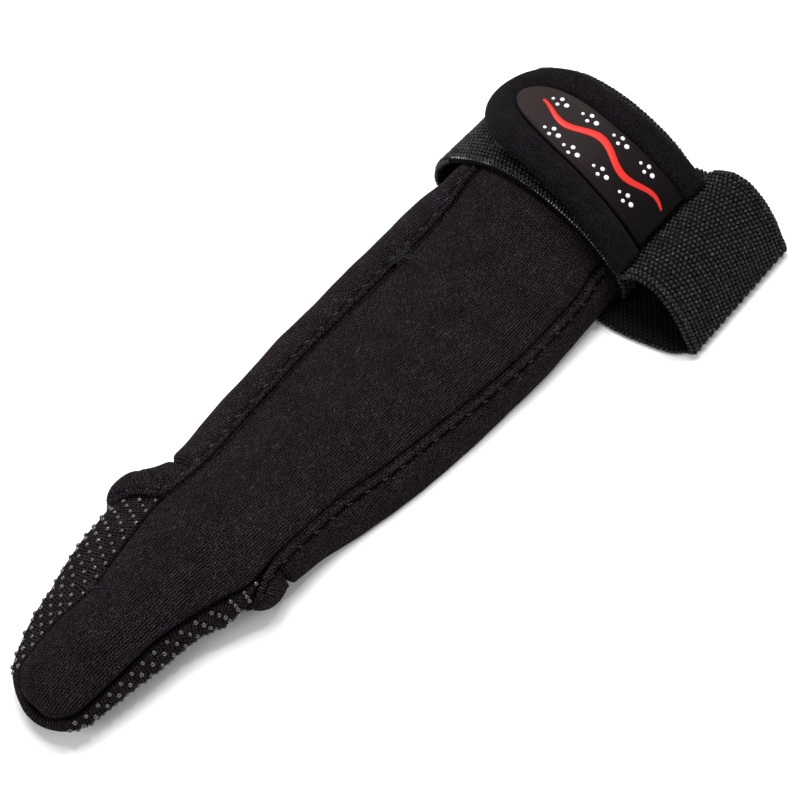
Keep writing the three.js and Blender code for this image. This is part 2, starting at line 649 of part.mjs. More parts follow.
// Badge: a soft plate sunk in the tab, with a thin raised rim.
const BADGE_RINGS = [
  { inward: 0, height: 0.6 },
  { inward: 0.06, height: 1 },
  { inward: 0.13, height: 1 },
  { inward: 0.18, height: 0.8 },
  { inward: 0.45, height: 0.8 },
  { inward: 0.75, height: 0.8 },
  { inward: 1, height: 0.8 },
];
const badgeTop = [];
const badgeUnder = [];
for (const step of tabSteps) {
  const rim = tonguePoint(step, BADGE_LENGTH, BADGE_WIDTH, BADGE_ROUND, BADGE_LEAN, BADGE_START);
  const spine = {
    along: THREE.MathUtils.lerp(BADGE_START, rim.along, SPINE_LENGTH),
    x: tabMiddle + SPINE_LEAN * (rim.along / TAB_LENGTH),
  };
  const rings = BADGE_RINGS.map(({ inward, height }) => ({
    along: THREE.MathUtils.lerp(rim.along, spine.along, inward),
    x: THREE.MathUtils.lerp(rim.x, spine.x, inward),
    height: BADGE_FLOOR + BADGE_GAP + height * BADGE_THICK,
  }));
  badgeTop.push(rings.map(({ along, x, height }) => onTab(along, x, height)));
  badgeUnder.push(rings.map(({ along, x }) => onTab(along, x, BADGE_FLOOR + BADGE_GAP)));
}

// Hook tape on the underside of the tab.
const HOOK_STEPS = 18;
const HOOK_SHARES = [-0.5, -0.25, 0, 0.25, 0.5];
const hookTop = [];
const hookUnder = [];
const tuckEnd = tabTopLengths[Math.ceil(TUCK_SHARES[TUCK_SHARES.length - 1] * OUTLINE_STEPS)];
for (let r = 0; r <= HOOK_STEPS; r += 1) {
  const along = tuckEnd - TAB_ROOT + HOOK_MARGIN + (HOOK_LENGTH * r) / HOOK_STEPS;
  const width = HOOK_WIDTH * (r === 0 || r === HOOK_STEPS ? HOOK_CORNER : 1);
  const xs = HOOK_SHARES.map((side) => tabMiddle + HOOK_SHIFT + side * width);
  hookTop.push(xs.map((x) => onTab(along, x, -LAYER_GAP)));
  hookUnder.push(xs.map((x) => onTab(along, x, -LAYER_GAP - HOOK_THICK)));
}

function material(color, roughness) {
  return new THREE.MeshStandardMaterial({ color, roughness, metalness: 0 });
}

const body = new THREE.Group();
function add(name, geometry, look) {
  const mesh = new THREE.Mesh(geometry, look);
  mesh.name = name;
  body.add(mesh);
}

add('back_panel', wall(panelTop, panelUnder), material(0x201d1e, 0.9));
add('finger_pocket', wall(pocketOuter, pocketInner, true), material(0x1b191a, 0.85));
add('edge_band', wall(bandOuter, bandInner), material(0x211e20, 0.88));
const strapOuter = strapFace(STRAP_THICK / 2);
const strapInner = strapFace(-STRAP_THICK / 2);
add('wrist_strap', wall(strapOuter, strapInner), material(0x262425, 0.85));
add('strap_tab', wall(tabTop, tabUnder, true), material(0x232021, 0.92));
add('tab_badge', wall(badgeTop, badgeUnder, true), material(0x191312, 0.35));
add('hook_tape', wall(hookTop, hookUnder), material(0x141414, 0.7));

// Stand the guard on its middle, with its lowest point on the ground.
const box = new THREE.Box3().setFromObject(body);
const middle = box.getCenter(new THREE.Vector3());
body.position.set(-middle.x, -middle.y, -box.min.z);

const group = new THREE.Group();
group.add(body);
export default group;
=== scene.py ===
import math

import bpy
import numpy as np
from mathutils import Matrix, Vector


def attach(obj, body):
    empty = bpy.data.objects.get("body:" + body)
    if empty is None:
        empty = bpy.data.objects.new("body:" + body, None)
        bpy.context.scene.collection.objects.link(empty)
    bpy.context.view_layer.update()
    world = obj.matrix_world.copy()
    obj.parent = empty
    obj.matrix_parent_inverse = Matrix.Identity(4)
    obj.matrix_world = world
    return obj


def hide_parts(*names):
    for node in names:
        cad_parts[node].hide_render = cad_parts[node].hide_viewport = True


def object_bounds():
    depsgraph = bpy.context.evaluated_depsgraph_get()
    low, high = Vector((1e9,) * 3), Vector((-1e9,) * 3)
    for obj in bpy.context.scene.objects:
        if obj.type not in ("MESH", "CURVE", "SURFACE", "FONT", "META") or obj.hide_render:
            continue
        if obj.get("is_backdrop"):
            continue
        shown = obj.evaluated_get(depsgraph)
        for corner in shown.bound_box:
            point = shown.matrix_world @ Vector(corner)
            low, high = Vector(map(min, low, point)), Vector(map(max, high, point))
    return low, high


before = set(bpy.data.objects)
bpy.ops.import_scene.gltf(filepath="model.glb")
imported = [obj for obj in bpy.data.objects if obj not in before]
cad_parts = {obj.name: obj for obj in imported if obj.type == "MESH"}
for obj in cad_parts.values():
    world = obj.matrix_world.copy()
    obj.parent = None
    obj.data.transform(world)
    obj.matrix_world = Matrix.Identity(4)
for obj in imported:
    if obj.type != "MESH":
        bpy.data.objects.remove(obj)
cad_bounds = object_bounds()

# Camera, floor and lamps
# The guard lies on a plain pale table under soft lamps, seen from above its near
# side. A small lamp puts the glints in the threads and the grip dots.
camera_at = Vector((0.00395, 0.00203, 0.008))
camera_azimuth = math.radians(-50)
camera_elevation = math.radians(60)
camera_distance = 0.324


def away(azimuth, elevation):
    """Direction from the object out towards an azimuth and an elevation."""
    level = math.cos(elevation)
    return Vector((math.sin(azimuth) * level, -math.cos(azimuth) * level, math.sin(elevation)))


camera = bpy.data.objects.new("camera", bpy.data.cameras.new("camera"))
camera.data.lens = 70
camera.data.clip_start = 0.01
camera_back = away(camera_azimuth, camera_elevation)
camera.location = camera_at + camera_back * camera_distance
camera.rotation_euler = camera_back.to_track_quat("Z", "Y").to_euler()
bpy.context.collection.objects.link(camera)
bpy.context.scene.camera = camera


def soft_lamp(name, azimuth, elevation, distance, size, watts):
    lamp = bpy.data.objects.new(name, bpy.data.lights.new(name, "AREA"))
    lamp.data.shape = "DISK"
    lamp.data.size = size
    lamp.data.energy = watts
    out = away(math.radians(azimuth), math.radians(elevation))
    lamp.location = out * distance
    lamp.rotation_euler = out.to_track_quat("Z", "Y").to_euler()
    bpy.context.collection.objects.link(lamp)


soft_lamp("lamp_over", 150, 62, 0.9, 0.5, 8)
soft_lamp("lamp_side", -110, 40, 1.0, 0.6, 3.4)
soft_lamp("lamp_front", 20, 35, 1.1, 0.7, 2.6)
soft_lamp("lamp_glint", 95, 60, 0.9, 0.05, 1.6)

sky = bpy.data.worlds.new("studio")
sky.use_nodes = True
sky.node_tree.nodes["Background"].inputs["Color"].default_value = (1, 1, 1, 1)
sky.node_tree.nodes["Background"].inputs["Strength"].default_value = 0.34
bpy.context.scene.world = sky
bpy.context.scene.view_settings.view_transform = "Standard"


class Wire:
    """A socket's value, so that sums on it are written as plain Python."""

    def __init__(self, look, socket):
        self.look = look
        self.socket = socket

    def maths(self, operation, *others, clamp=False):
        node = self.look.tree.nodes.new("ShaderNodeMath")
        node.operation = operation
        node.use_clamp = clamp
        for place, value in enumerate(others):
            self.look.feed(node.inputs[place], value)
        return Wire(self.look, node.outputs[0])

    def __add__(self, other):
        return self.maths("ADD", self, other)

    def __sub__(self, other):
        return self.maths("SUBTRACT", self, other)

    def __rsub__(self, other):
        return self.maths("SUBTRACT", other, self)

    def __mul__(self, other):
        return self.maths("MULTIPLY", self, other)

    def __truediv__(self, other):
        return self.maths("DIVIDE", self, other)

    def __pow__(self, other):
        return self.maths("POWER", self, other)

    def __abs__(self):
        return self.maths("ABSOLUTE", self)

    __radd__ = __add__
    __rmul__ = __mul__

    def sine(self):
        return self.maths("SINE", self)

    def whole(self):
        return self.maths("FLOOR", self)

    def odd(self):
        return self.maths("MODULO", self.whole(), 2)

    def held(self):
        return self.maths("ADD", self, 0.0, clamp=True)


class Look:
    """A material, with one method for every kind of node."""

    def __init__(self, name):
        self.material = bpy.data.materials.new(name)
        self.material.use_nodes = True
        self.tree = self.material.node_tree
        self.tree.nodes.clear()

    def feed(self, socket, value):
        if isinstance(value, Wire):
            self.tree.links.new(value.socket, socket)
        elif value is not None:
            socket.default_value = value

    def node(self, kind, settings=None, inputs=None, out=0):
        node = self.tree.nodes.new("ShaderNode" + kind)
        for key, value in (settings or {}).items():
            setattr(node, key, value)
        for key, value in (inputs or {}).items():
            self.feed(node.inputs[key], value)
        return Wire(self, node.outputs[out])

    def place(self):
        """Object coordinates."""
        return self.node("TexCoord", out="Object")

    def cloth(self):
        """Millimetres along and across the piece, from its own map."""
        both = self.node("SeparateXYZ", inputs={0: self.node("UVMap", {"uv_map": "cloth"})})
        across = Wire(self, both.socket.node.outputs[1])
        return both * 100.0, across * 100.0

    def shade(self):
        """Painted shade: how deep in a seam the point lies, from 0 to 1."""
        return self.node("Attribute", {"attribute_name": "shade"}, out="Fac")

    def noise(self, size_mm, detail=2.0, rough=0.5):
        """Soft noise whose grains are about so many millimetres."""
        return self.node("TexNoise", inputs={
            "Vector": self.place(), "Scale": 1000.0 / size_mm, "Detail": detail, "Roughness": rough})

    def blend(self, share, low, high):
        return self.node("Mix", {"data_type": "RGBA"}, {0: share, 6: low, 7: high}, out=2)

    def bump(self, height_mm):
        return self.node("Bump", inputs={"Height": height_mm, "Distance": 0.001, "Strength": 1.0})

    def finish(self, constants, **surface):
        shader = self.tree.nodes.new("ShaderNodeBsdfPrincipled")
        for key, value in constants.items():
            shader.inputs[key].default_value = value
        for key, value in surface.items():
            self.feed(shader.inputs[key.replace("_", " ")], value)
        end = self.tree.nodes.new("ShaderNodeOutputMaterial")
        self.tree.links.new(shader.outputs[0], end.inputs["Surface"])
        return self.material


def grained(name, grain_mm, low, high, gloss, rough, rough_by=0.2, detail=2.0, rise=None, coat=None):
    """A finish whose colour and roughness follow one fine grain."""
    look = Look(name)
    grain = look.noise(grain_mm, detail)
    constants = {"Specular IOR Level": gloss}
    if coat:
        constants.update({"Coat Weight": coat, "Coat Roughness": 0.04})
    surface = {"Normal": look.bump(grain * rise)} if rise else {}
    return look.finish(constants, Base_Color=look.blend(grain, (*low, 1), (*high, 1)),
                       Roughness=grain * rough_by + rough, **surface)


floor_mesh = bpy.data.meshes.new("table")
floor_mesh.from_pydata([(-3, -3, 0), (3, -3, 0), (3, 3, 0), (-3, 3, 0)], [], [(0, 1, 2, 3)])
floor = bpy.data.objects.new("table", floor_mesh)
table_paper = grained("table_paper", 60, (0.86,) * 3, (0.89,) * 3, 0.2, 0.8, 0.1, detail=3.0)
floor_mesh.materials.append(table_paper)
bpy.context.collection.objects.link(floor)
floor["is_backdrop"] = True

# Back panel
# One piece of ribbed knit over thin neoprene foam, cut long and narrow. It arches
# over the finger and the hand, and its edges roll down into the seams.
GUARD_LENGTH = 181.5
PANEL_WIDTH = 50
ARCH_HEIGHT = 18.7
NEOPRENE = 2.6
POCKET_LENGTH = 38.2
POCKET_HEIGHT = 14
TIP_ROUND = 6.6
SHIFT = np.array([-91.98, 10.15, 0.0])


def table(names, *rows):
    """Columns of a short table by their names."""
    return {name: np.array(column, float) for name, column in zip(names.split(), zip(*rows))}


PANEL = table(
    "at right right_z left left_z rise",
    (0.039, -0.124, 0.45, 0.2, 0.47, 0.15),
    (0.085, -0.144, 0.525, 0.206, 0.545, 0.17),
    (0.13, -0.156, 0.555, 0.19, 0.58, 0.17),
    (0.174, -0.192, 0.58, 0.216, 0.6, 0.16),
    (0.218, -0.24, 0.59, 0.24, 0.605, 0.147),
    (0.251, -0.276, 0.59, 0.256, 0.59, 0.13),
    (0.295, -0.266, 0.55, 0.244, 0.53, 0.123),
    (0.339, -0.268, 0.49, 0.252, 0.44, 0.123),
    (0.372, -0.272, 0.45, 0.268, 0.375, 0.134),
    (0.449, -0.322, 0.428, 0.29, 0.342, 0.14),
    (0.526, -0.366, 0.428, 0.304, 0.332, 0.155),
    (0.603, -0.408, 0.44, 0.296, 0.375, 0.17),
    (0.68, -0.434, 0.46, 0.284, 0.47, 0.187),
    (0.763, -0.438, 0.49, 0.268, 0.64, 0.235),
    (0.815, -0.416, 0.535, 0.27, 0.855, 0.278),
    (1.0, -0.416, 0.535, 0.27, 0.855, 0.278),
)


def follow(columns, key, name, place):
    """Smooth value down one column of a table, which never overshoots its rows."""
    keys = columns[key]
    values = columns[name]
    place = np.asarray(place, float)
    rate = np.diff(values) / np.diff(keys)
    before, after = rate[:-1], rate[1:]
    turning = before * after <= 0
    total = np.where(turning, 1.0, before + after)
    slope = np.concatenate([rate[:1], np.where(turning, 0.0, 2 * before * after / total), rate[-1:]])
    i = np.clip(np.searchsorted(keys, place) - 1, 0, len(keys) - 2)
    span = keys[i + 1] - keys[i]
    t = np.clip((place - keys[i]) / span, 0, 1)
    from_a = (2 * t**3 - 3 * t**2 + 1) * values[i] + (t**3 - 2 * t**2 + t) * span * slope[i]
    from_b = (3 * t**2 - 2 * t**3) * values[i + 1] + (t**3 - t**2) * span * slope[i + 1]
    return from_a + from_b


def unit(v):
    return v / np.maximum(np.linalg.norm(v, axis=-1, keepdims=True), 1e-9)


def lengths(points):
    """Distance run along a line of points."""
    return np.concatenate([[0.0], np.cumsum(np.linalg.norm(np.diff(points, axis=0), axis=1))])


def grid_normals(grid):
    """Unit normals of a grid of points, towards the left of its columns."""
    down = np.gradient(grid, axis=0)
    across = np.gradient(grid, axis=1)
    return unit(np.cross(across, down))


def row_at(columns, key, place):
    """Every column of a table at one place."""
    return {name: float(follow(columns, key, name, place)) for name in columns}


def edge_line(columns, at, side):
    """Points of one long edge of a piece, from its table."""
    y = follow(columns, "at", side, at) * PANEL_WIDTH
    z = follow(columns, "at", side + "_z", at) * ARCH_HEIGHT
    return np.stack([at * GUARD_LENGTH, y, z], -1)


def arch(at, across):
    """Points of the arch between the panel's two edges, one row for each place."""
    at = np.atleast_1d(np.asarray(at, float))
    right = edge_line(PANEL, at, "right")[:, None]
    left = edge_line(PANEL, at, "left")[:, None]
    share = np.asarray(across, float)[None, :, None]
    points = right + (left - right) * share
    rise = follow(PANEL, "at", "rise", at)[:, None] * ARCH_HEIGHT
    points[..., 2] += rise * (4 * share[..., 0] * (1 - share[..., 0])) ** 0.75
    return points


def rounded(front, rear, fullness=0.5):
    """Closed section loops: over the front, round an edge, back under, round the other."""
    def edge(near, inside, far):
        out = unit(near - inside)
        thick = np.linalg.norm(far - near, axis=-1, keepdims=True)
        steps = (0.1, 0.3, 0.5, 0.7, 0.9)
        return [near + (far - near) * t + out * thick * fullness * math.sin(math.pi * t) for t in steps]
    first = edge(front[:, -1], front[:, -2], rear[:, -1])
    last = edge(rear[:, 0], rear[:, 1], front[:, 0])
    sides = [np.stack(first, 1), rear[:, ::-1], np.stack(last, 1)]
    return np.concatenate([front, *sides], 1)


def mesh_from(name, points, faces, cloth=None, look=None):
    """A smooth mesh object in metres. Cloth holds millimetres along and across."""
    mesh = bpy.data.meshes.new(name)
    mesh.from_pydata(((points + SHIFT) * 0.001).tolist(), [], faces)
    mesh.polygons.foreach_set("use_smooth", np.ones(len(mesh.polygons), bool))
    if cloth is not None:
        corners = np.zeros(len(mesh.loops), int)
        mesh.loops.foreach_get("vertex_index", corners)
        layer = mesh.uv_layers.new(name="cloth")
        layer.data.foreach_set("uv", (cloth[corners] * 0.01).ravel())
    mesh.update()
    piece = bpy.data.objects.new(name, mesh)
    bpy.context.collection.objects.link(piece)
    if look:
        mesh.materials.append(look)
    return piece


def paint_shade(piece, shade):
    """Gives a mesh painted shade at its points: 1 deep in a seam, 0 in the open."""
    values = np.ascontiguousarray(np.clip(shade, 0, 1), np.float32).ravel()
    piece.data.attributes.new("shade", "FLOAT", "POINT").data.foreach_set("value", values)


def placed(piece, slot, *nodes):
    """Hides the solids a piece stands for and makes it ride on the guard's root body. The slot is not
    used.
    """
    if nodes:
        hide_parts(*nodes)
    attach(piece, "root")


def facing_out(points, faces):
    """The faces, turned round if they enclose a negative volume."""
    total = 0.0
    for face in faces:
        a = points[face[0]]
        for i in range(1, len(face) - 1):
            total += np.dot(a, np.cross(points[face[i]], points[face[i + 1]]))
    return faces if total > 0 else [face[::-1] for face in faces]


def sleeve(name, loops, along, across, look):
    """A closed skin through section loops, capped at both ends."""
    rows, count = loops.shape[:2]
    ids = np.arange(rows * count).reshape(rows, count)
    after = np.roll(ids, -1, axis=1)
    quads = np.stack([ids[:-1], ids[1:], after[1:], after[:-1]], -1).reshape(-1, 4).tolist()
    quads.append(ids[0].tolist())
    quads.append(ids[-1][::-1].tolist())
    points = loops.reshape(-1, 3)
    cloth = np.stack([np.broadcast_to(along, (rows, count)), across], -1).reshape(-1, 2)
    return mesh_from(name, points, facing_out(points, quads), cloth, look)


def loop_across(front_across, loops, front_count):
    """Millimetres across each loop, the same on the rear as on the front."""
    rows, count = loops.shape[:2]
    edge = (count - 2 * front_count) // 2
    last = np.repeat(front_across[:, -1:], edge, 1)
    first = np.repeat(front_across[:, :1], edge, 1)
    return np.concatenate([front_across, last, front_across[:, ::-1], first], 1)


def loop_shade(front_shade, loops, edge_shade=0.8):
    """Painted shade for section loops: given on the front, dark on the cut edges, none behind."""
    rows, front = front_shade.shape
    edge = (loops.shape[1] - 2 * front) // 2
    sides = np.full((rows, edge), edge_shade)
    return np.concatenate([front_shade, sides, np.zeros((rows, front)), sides], 1)


tip_steps, body_steps, across_steps = 20, 150, 72
tip_at = PANEL["at"][0]
turn = np.radians(8 + 82 * np.arange(tip_steps) / tip_steps)
station_at = np.concatenate([np.full(tip_steps, tip_at), np.linspace(tip_at, 1, body_steps + 1)])
forward = np.concatenate([TIP_ROUND * np.cos(turn), np.zeros(body_steps + 1)])
narrow = np.concatenate([np.sin(turn), np.ones(body_steps + 1)])
across = np.linspace(0, 1, across_steps + 1)
panel_top = arch(station_at, across)
middle = arch(station_at, [0.5])
low = np.minimum(edge_line(PANEL, station_at, "right")[:, 2],
                 edge_line(PANEL, station_at, "left")[:, 2])[:, None]
panel_top[..., 1] = middle[..., 1] + (panel_top[..., 1] - middle[..., 1]) * narrow[:, None]
NOSE_DIP = 2.6
panel_top[..., 2] = low + (panel_top[..., 2] - low) * narrow[:, None] ** 0.6
panel_top[..., 2] -= (1 - narrow[:, None]) * NOSE_DIP
panel_top[..., 0] -= forward[:, None]
panel_down = grid_normals(panel_top)


def row_run(grid):
    """Millimetres run along each row of a grid, from its first column."""
    steps = np.linalg.norm(np.diff(grid, axis=1), axis=-1)
    return np.concatenate([np.zeros((len(grid), 1)), np.cumsum(steps, 1)], 1)


def surface_run(grid):
    """The same, from the middle of each row."""
    run = row_run(grid)
    return run - run[:, run.shape[1] // 2][:, None]


def soft_wave(points, size, seed):
    """Slow unevenness of a soft surface, from -1 to 1."""
    x, y, z = points[..., 0] / size, points[..., 1] / size, points[..., 2] / size
    a = np.sin(2.1 * x + 1.3 * y + seed) * np.cos(1.7 * y - 0.9 * z + 2 * seed)
    b = np.sin(3.7 * y - 2.9 * x + 3 * seed) * np.cos(2.3 * x + 1.1 * z - seed)
    return 0.6 * a + 0.4 * b


def knit_look(name, dark, light, rib_mm, stitch_mm, along_ribs, depth, fuzz=1.0):
    """Ribbed knit: ribs one way, small stitches the other, painted glints of fibres catching light, and
    painted shade in seams.
    """
    look = Look(name)
    along, sideways = look.cloth()
    if not along_ribs:
        along, sideways = sideways, along
    wander = look.noise(9, detail=2.0)
    rib = ((sideways + wander * 0.3) * (2 * math.pi / rib_mm)).sine() * 0.5 + 0.5
    lane = (sideways / rib_mm).odd()
    stitch = ((along + lane * (stitch_mm / 2)) * (2 * math.pi / stitch_mm)).sine() * 0.5 + 0.5
    fibre = look.noise(0.3, detail=3.0, rough=0.7)
    # Painted glints: flecks blended towards a brighter colour where fibres would catch the light.
    fleck = ((look.noise(0.26, detail=1.0) - 0.58) * 9.0).held()
    mottle = look.noise(5, detail=4.0, rough=0.6)
    crest = rib * stitch * 0.85 + rib * 0.06 + (fibre - 0.5) * (1.9 * fuzz)
    crest = (crest + mottle * 0.3 - 0.19).held()
    colour = look.blend(crest, dark, light)
    painted_glint_colour = [min(2.8 * c, 1) for c in light[:3]] + [1]
    colour = look.blend(fleck * mottle * (0.8 * fuzz), colour, painted_glint_colour)
    # Painted shade: the colour goes to nearly black where the shade attribute is high, deep in seams and
    # notches.
    colour = look.blend((look.shade() * 0.92).held(), colour, [0.12 * c for c in dark[:3]] + [1])
    height = rib * depth + rib * stitch * (depth * 0.5) + fibre * (0.07 * fuzz)
    return look.finish(
        {"Specular IOR Level": 0.02},
        Base_Color=colour, Roughness=fibre * 0.2 + 0.72, Normal=look.bump(height))


def cut_area(grid):
    """Square metres of a grid given in millimetres."""
    a, b = grid[1:, 1:] - grid[:-1, :-1], grid[1:, :-1] - grid[:-1, 1:]
    return float(np.linalg.norm(np.cross(a, b), axis=-1).sum() / 2 * 1e-6)


panel_run = surface_run(panel_top)
to_edge = np.minimum(panel_run - panel_run[:, :1], panel_run[:, -1:] - panel_run)
roll_in = np.clip(1 - to_edge / 1.9, 0, 1) ** 2
front_share = np.clip(1 - (panel_top[:, :1, 0] - panel_top[0, 0, 0]) / 2.0, 0, 1)
dip = 0.85 * np.maximum(roll_in, front_share**2) - 0.14 * soft_wave(panel_top, 13, 0.7)
panel_front = panel_top + panel_down * dip[..., None]
panel_rear = panel_top + panel_down * NEOPRENE
panel_loops = rounded(panel_front, panel_rear, 0.1)
panel_along = panel_top[:, :1, 0]
neoprene_knit = knit_look(
    "neoprene_knit", (0.0005, 0.0004, 0.0005, 1), (0.039, 0.0292, 0.0368, 1), 0.58, 0.64, True, 0.16)
panel_across = loop_across(panel_run, panel_loops, across_steps + 1)
panel_piece = sleeve("neoprene_panel", panel_loops, panel_along, panel_across, neoprene_knit)
# Painted shade along the panel's edges and its front, where they meet the seams.
seam_near = np.minimum(to_edge, panel_top[:, :1, 0] - panel_top[0, 0, 0])
paint_shade(panel_piece, loop_shade(np.exp(-(seam_near / 0.42) ** 2), panel_loops))
placed(panel_piece, "neoprene_knit", "back_panel")
cut_area(panel_front)

# Finger pocket
# Stretch knit printed with clear grip dots. It wraps the fingertip from one edge
# of the panel to the other and meets itself in a keel under the finger.
GRIP_CLOTH = 1.2
FOOT_INSET = 2.6
SEAM_GAP = 0.35
KEEL_SIDE = 0.08 * PANEL_WIDTH
POCKET = table(
    "back right left widest lean keel",
    (0.03, 0.034, 0.034, 0.3, 0, 0.3),
    (0.22, 0.026, 0.082, 0.33, 0, 0.4),
    (0.41, 0.028, 0.128, 0.36, 0, 0.5),
    (0.61, 0.04, 0.182, 0.37, 0, 0.64),
    (0.93, 0.016, 0.19, 0.37, 0.05, 0.85),
    (1.1, 0.01, 0.175, 0.37, 0.13, 0.93),
)
MOUTH = {
    "left": ((1.14, 0.38, 0.57), (1.035, 0.425, 0.36), (1.005, 0.37, 0.05), (1, 0.24, 0)),
    "right": ((1.14, -0.3, 0.66), (1.1, -0.282, 0.4), (1.045, -0.19, 0.05), (1, -0.06, 0)),
}


def spline(points, count):
    """Even points on the smooth curve through a few, uneven spacing allowed."""
    p = np.array(points, float)
    p = np.concatenate([[2 * p[0] - p[1]], p, [2 * p[-1] - p[-2]]])
    gap = np.maximum(np.linalg.norm(np.diff(p, axis=0), axis=1) ** 0.5, 1e-3)
    t = np.linspace(0, 1, 24, endpoint=False)[:, None]
    dense = []
    for i in range(1, len(p) - 2):
        d0, d1, d2 = gap[i - 1], gap[i], gap[i + 1]
        m1 = (p[i] - p[i - 1]) / d0 - (p[i + 1] - p[i - 1]) / (d0 + d1) + (p[i + 1] - p[i]) / d1
        m2 = (p[i + 1] - p[i]) / d1 - (p[i + 2] - p[i]) / (d1 + d2) + (p[i + 2] - p[i + 1]) / d2
        m1, m2 = m1 * d1, m2 * d1
        c2 = 3 * (p[i + 1] - p[i]) - 2 * m1 - m2
        c3 = 2 * (p[i] - p[i + 1]) + m1 + m2
        dense.append(p[i] + m1 * t + c2 * t**2 + c3 * t**3)
    dense = np.concatenate([*dense, p[-2:-1]])
    run = lengths(dense)
    even = np.linspace(0, run[-1], count)
    return np.stack([np.interp(even, run, dense[:, k]) for k in range(3)], -1)


pocket_steps = 56
tip_point = (panel_top[0, 0] + panel_top[0, -1]) / 2


def seam_at(row, side):
    """One long edge of the panel: its point, and the directions down and out of it."""
    c = 0 if side == "right" else -1
    sign = 1 if side == "right" else -1
    before = tip_point if row == 0 else panel_top[row - 1, c]
    along = (panel_top[min(row + 1, len(panel_top) - 1), c] - before) * sign
    down = panel_down[row, c]
    return {"point": panel_top[row, c], "along": along, "down": down, "out": unit(np.cross(down, along))}


def pocket_curve(seam, below, keel):
    start = seam["point"] + seam["out"] * SEAM_GAP + seam["down"] * NEOPRENE * 0.25
    curve = spline([start, *below, keel], pocket_steps + 1)
    curve[:, 2] = np.maximum(curve[:, 2], 0)
    return curve


def pocket_row(seam, side):
    back = seam["point"][0] / POCKET_LENGTH
    value = row_at(POCKET, "back", back)
    level = unit(np.array([seam["along"][1], -seam["along"][0], 0]))
    widest = seam["point"] + level * value[side] * PANEL_WIDTH
    widest[0] -= value["lean"] * POCKET_LENGTH
    widest[2] = value["widest"] * POCKET_HEIGHT
    keel = np.array([value["keel"] * POCKET_LENGTH, KEEL_SIDE, 0])
    foot = widest + unit(keel - widest) * FOOT_INSET
    foot[2] = 0.6
    return pocket_curve(seam, [widest, foot], keel)


mouth_at = 1.25 * POCKET_LENGTH / GUARD_LENGTH
last_at = tip_at + (mouth_at - tip_at) * 6 / 7
last_row = int(np.argmin(np.abs(station_at - last_at)))
mouth_station = int(np.argmin(np.abs(station_at - mouth_at)))


def pocket_half(side):
    """Rows of one side from the tip back to the mouth, and the panel's down there."""
    rows = [pocket_row(seam_at(r, side), side) for r in range(last_row + 1)]
    downs = [seam_at(r, side)["down"] for r in range(last_row + 1)]
    seam = seam_at(mouth_station, side)
    sizes = np.array([POCKET_LENGTH, PANEL_WIDTH, POCKET_HEIGHT])
    below = [np.array(shares) * sizes for shares in MOUTH[side]]
    mouth = pocket_curve(seam, below, np.array([POCKET_LENGTH, KEEL_SIDE, 0]))
    between = mouth_station - last_row
    for k in range(1, between + 1):
        rows.append(rows[last_row] + (mouth - rows[last_row]) * k / between)
        downs.append(seam_at(last_row + k, side)["down"])
    return rows, downs


nose = {"point": tip_point, "along": np.array([0, -1.0, 0]), "down": panel_down[0, across_steps // 2],
        "out": np.array([-1.0, 0, 0])}
left_rows, left_downs = pocket_half("left")
right_rows, right_downs = pocket_half("right")
pocket_outer = np.array(left_rows[::-1] + [pocket_row(nose, "left")] + right_rows)
pocket_downs = np.array(left_downs[::-1] + [nose["down"]] + right_downs)
pocket_normals = grid_normals(pocket_outer)
fade = np.minimum(np.arange(pocket_steps + 1) / 14, 1) * (pocket_outer[..., 2] > 0.05)
from_nose = pocket_outer[..., 0] - pocket_outer[..., 0].min()
pocket_puff = 0.12 * soft_wave(pocket_outer, 5.2, 1.9) + 0.2 - 1.3 * np.exp(-(from_nose / 7.0) ** 2)
pocket_puff *= fade
pocket_front = pocket_outer + pocket_normals * pocket_puff[..., None]
pocket_front[..., 2] = np.maximum(pocket_front[..., 2], 0)
pocket_inner = pocket_outer - pocket_normals * GRIP_CLOTH
pocket_inner[:, 0] = pocket_outer[:, 0] + pocket_downs * GRIP_CLOTH
pocket_inner[..., 2] = np.maximum(pocket_inner[..., 2], 0)
keel_inner = pocket_outer[:, -1] + np.array([0, 0, GRIP_CLOTH])
pocket_inner[:, -1] = keel_inner


def zipped(name, outer, inner, look, shade=None):
    """Two faces of a wall whose last column meets itself under the finger."""
    rows, count = outer.shape[:2]
    half = (rows - 1) // 2
    ids = np.arange(rows * count).reshape(rows, count)
    ids[half + 1:, -1] = ids[:half, -1][::-1]
    rear = ids + rows * count
    faces = []
    for front, sign in ((ids, 1), (rear, -1)):
        quads = np.stack([front[:-1, :-1], front[1:, :-1], front[1:, 1:], front[:-1, 1:]], -1)
        faces += quads.reshape(-1, 4)[:, ::sign].tolist()
    for line, back in ((ids[:, 0], rear[:, 0]), (ids[-1], rear[-1]), (ids[0][::-1], rear[0][::-1])):
        faces += np.stack([line[:-1], back[:-1], back[1:], line[1:]], -1).tolist()
    points = np.concatenate([outer.reshape(-1, 3), inner.reshape(-1, 3)])
    run = row_run(outer)
    reach = np.broadcast_to(lengths(outer[:, 12])[:, None], run.shape)
    cloth = np.stack([reach, run], -1).reshape(-1, 2)
    cloth = np.concatenate([cloth, cloth])
    used = np.unique(np.array([i for face in faces for i in face]))
    order = np.full(len(points), -1)
    order[used] = np.arange(len(used))
    faces = [[int(order[i]) for i in face] for face in faces]
    faces = [face for face in faces if len(set(face)) == len(face)]
    piece = mesh_from(name, points[used], facing_out(points[used], faces), cloth[used], look)
    if shade is not None:
        paint_shade(piece, np.concatenate([shade.ravel(), shade.ravel() * 0])[used])
    return piece


grip_knit = knit_look(
    "grip_knit", (0.0006, 0.0004, 0.0006, 1), (0.039, 0.029, 0.0365, 1), 0.66, 0.9, False, 0.15)
pocket_reach = lengths(pocket_outer[:, 12])[:, None]
pocket_run = row_run(pocket_outer)
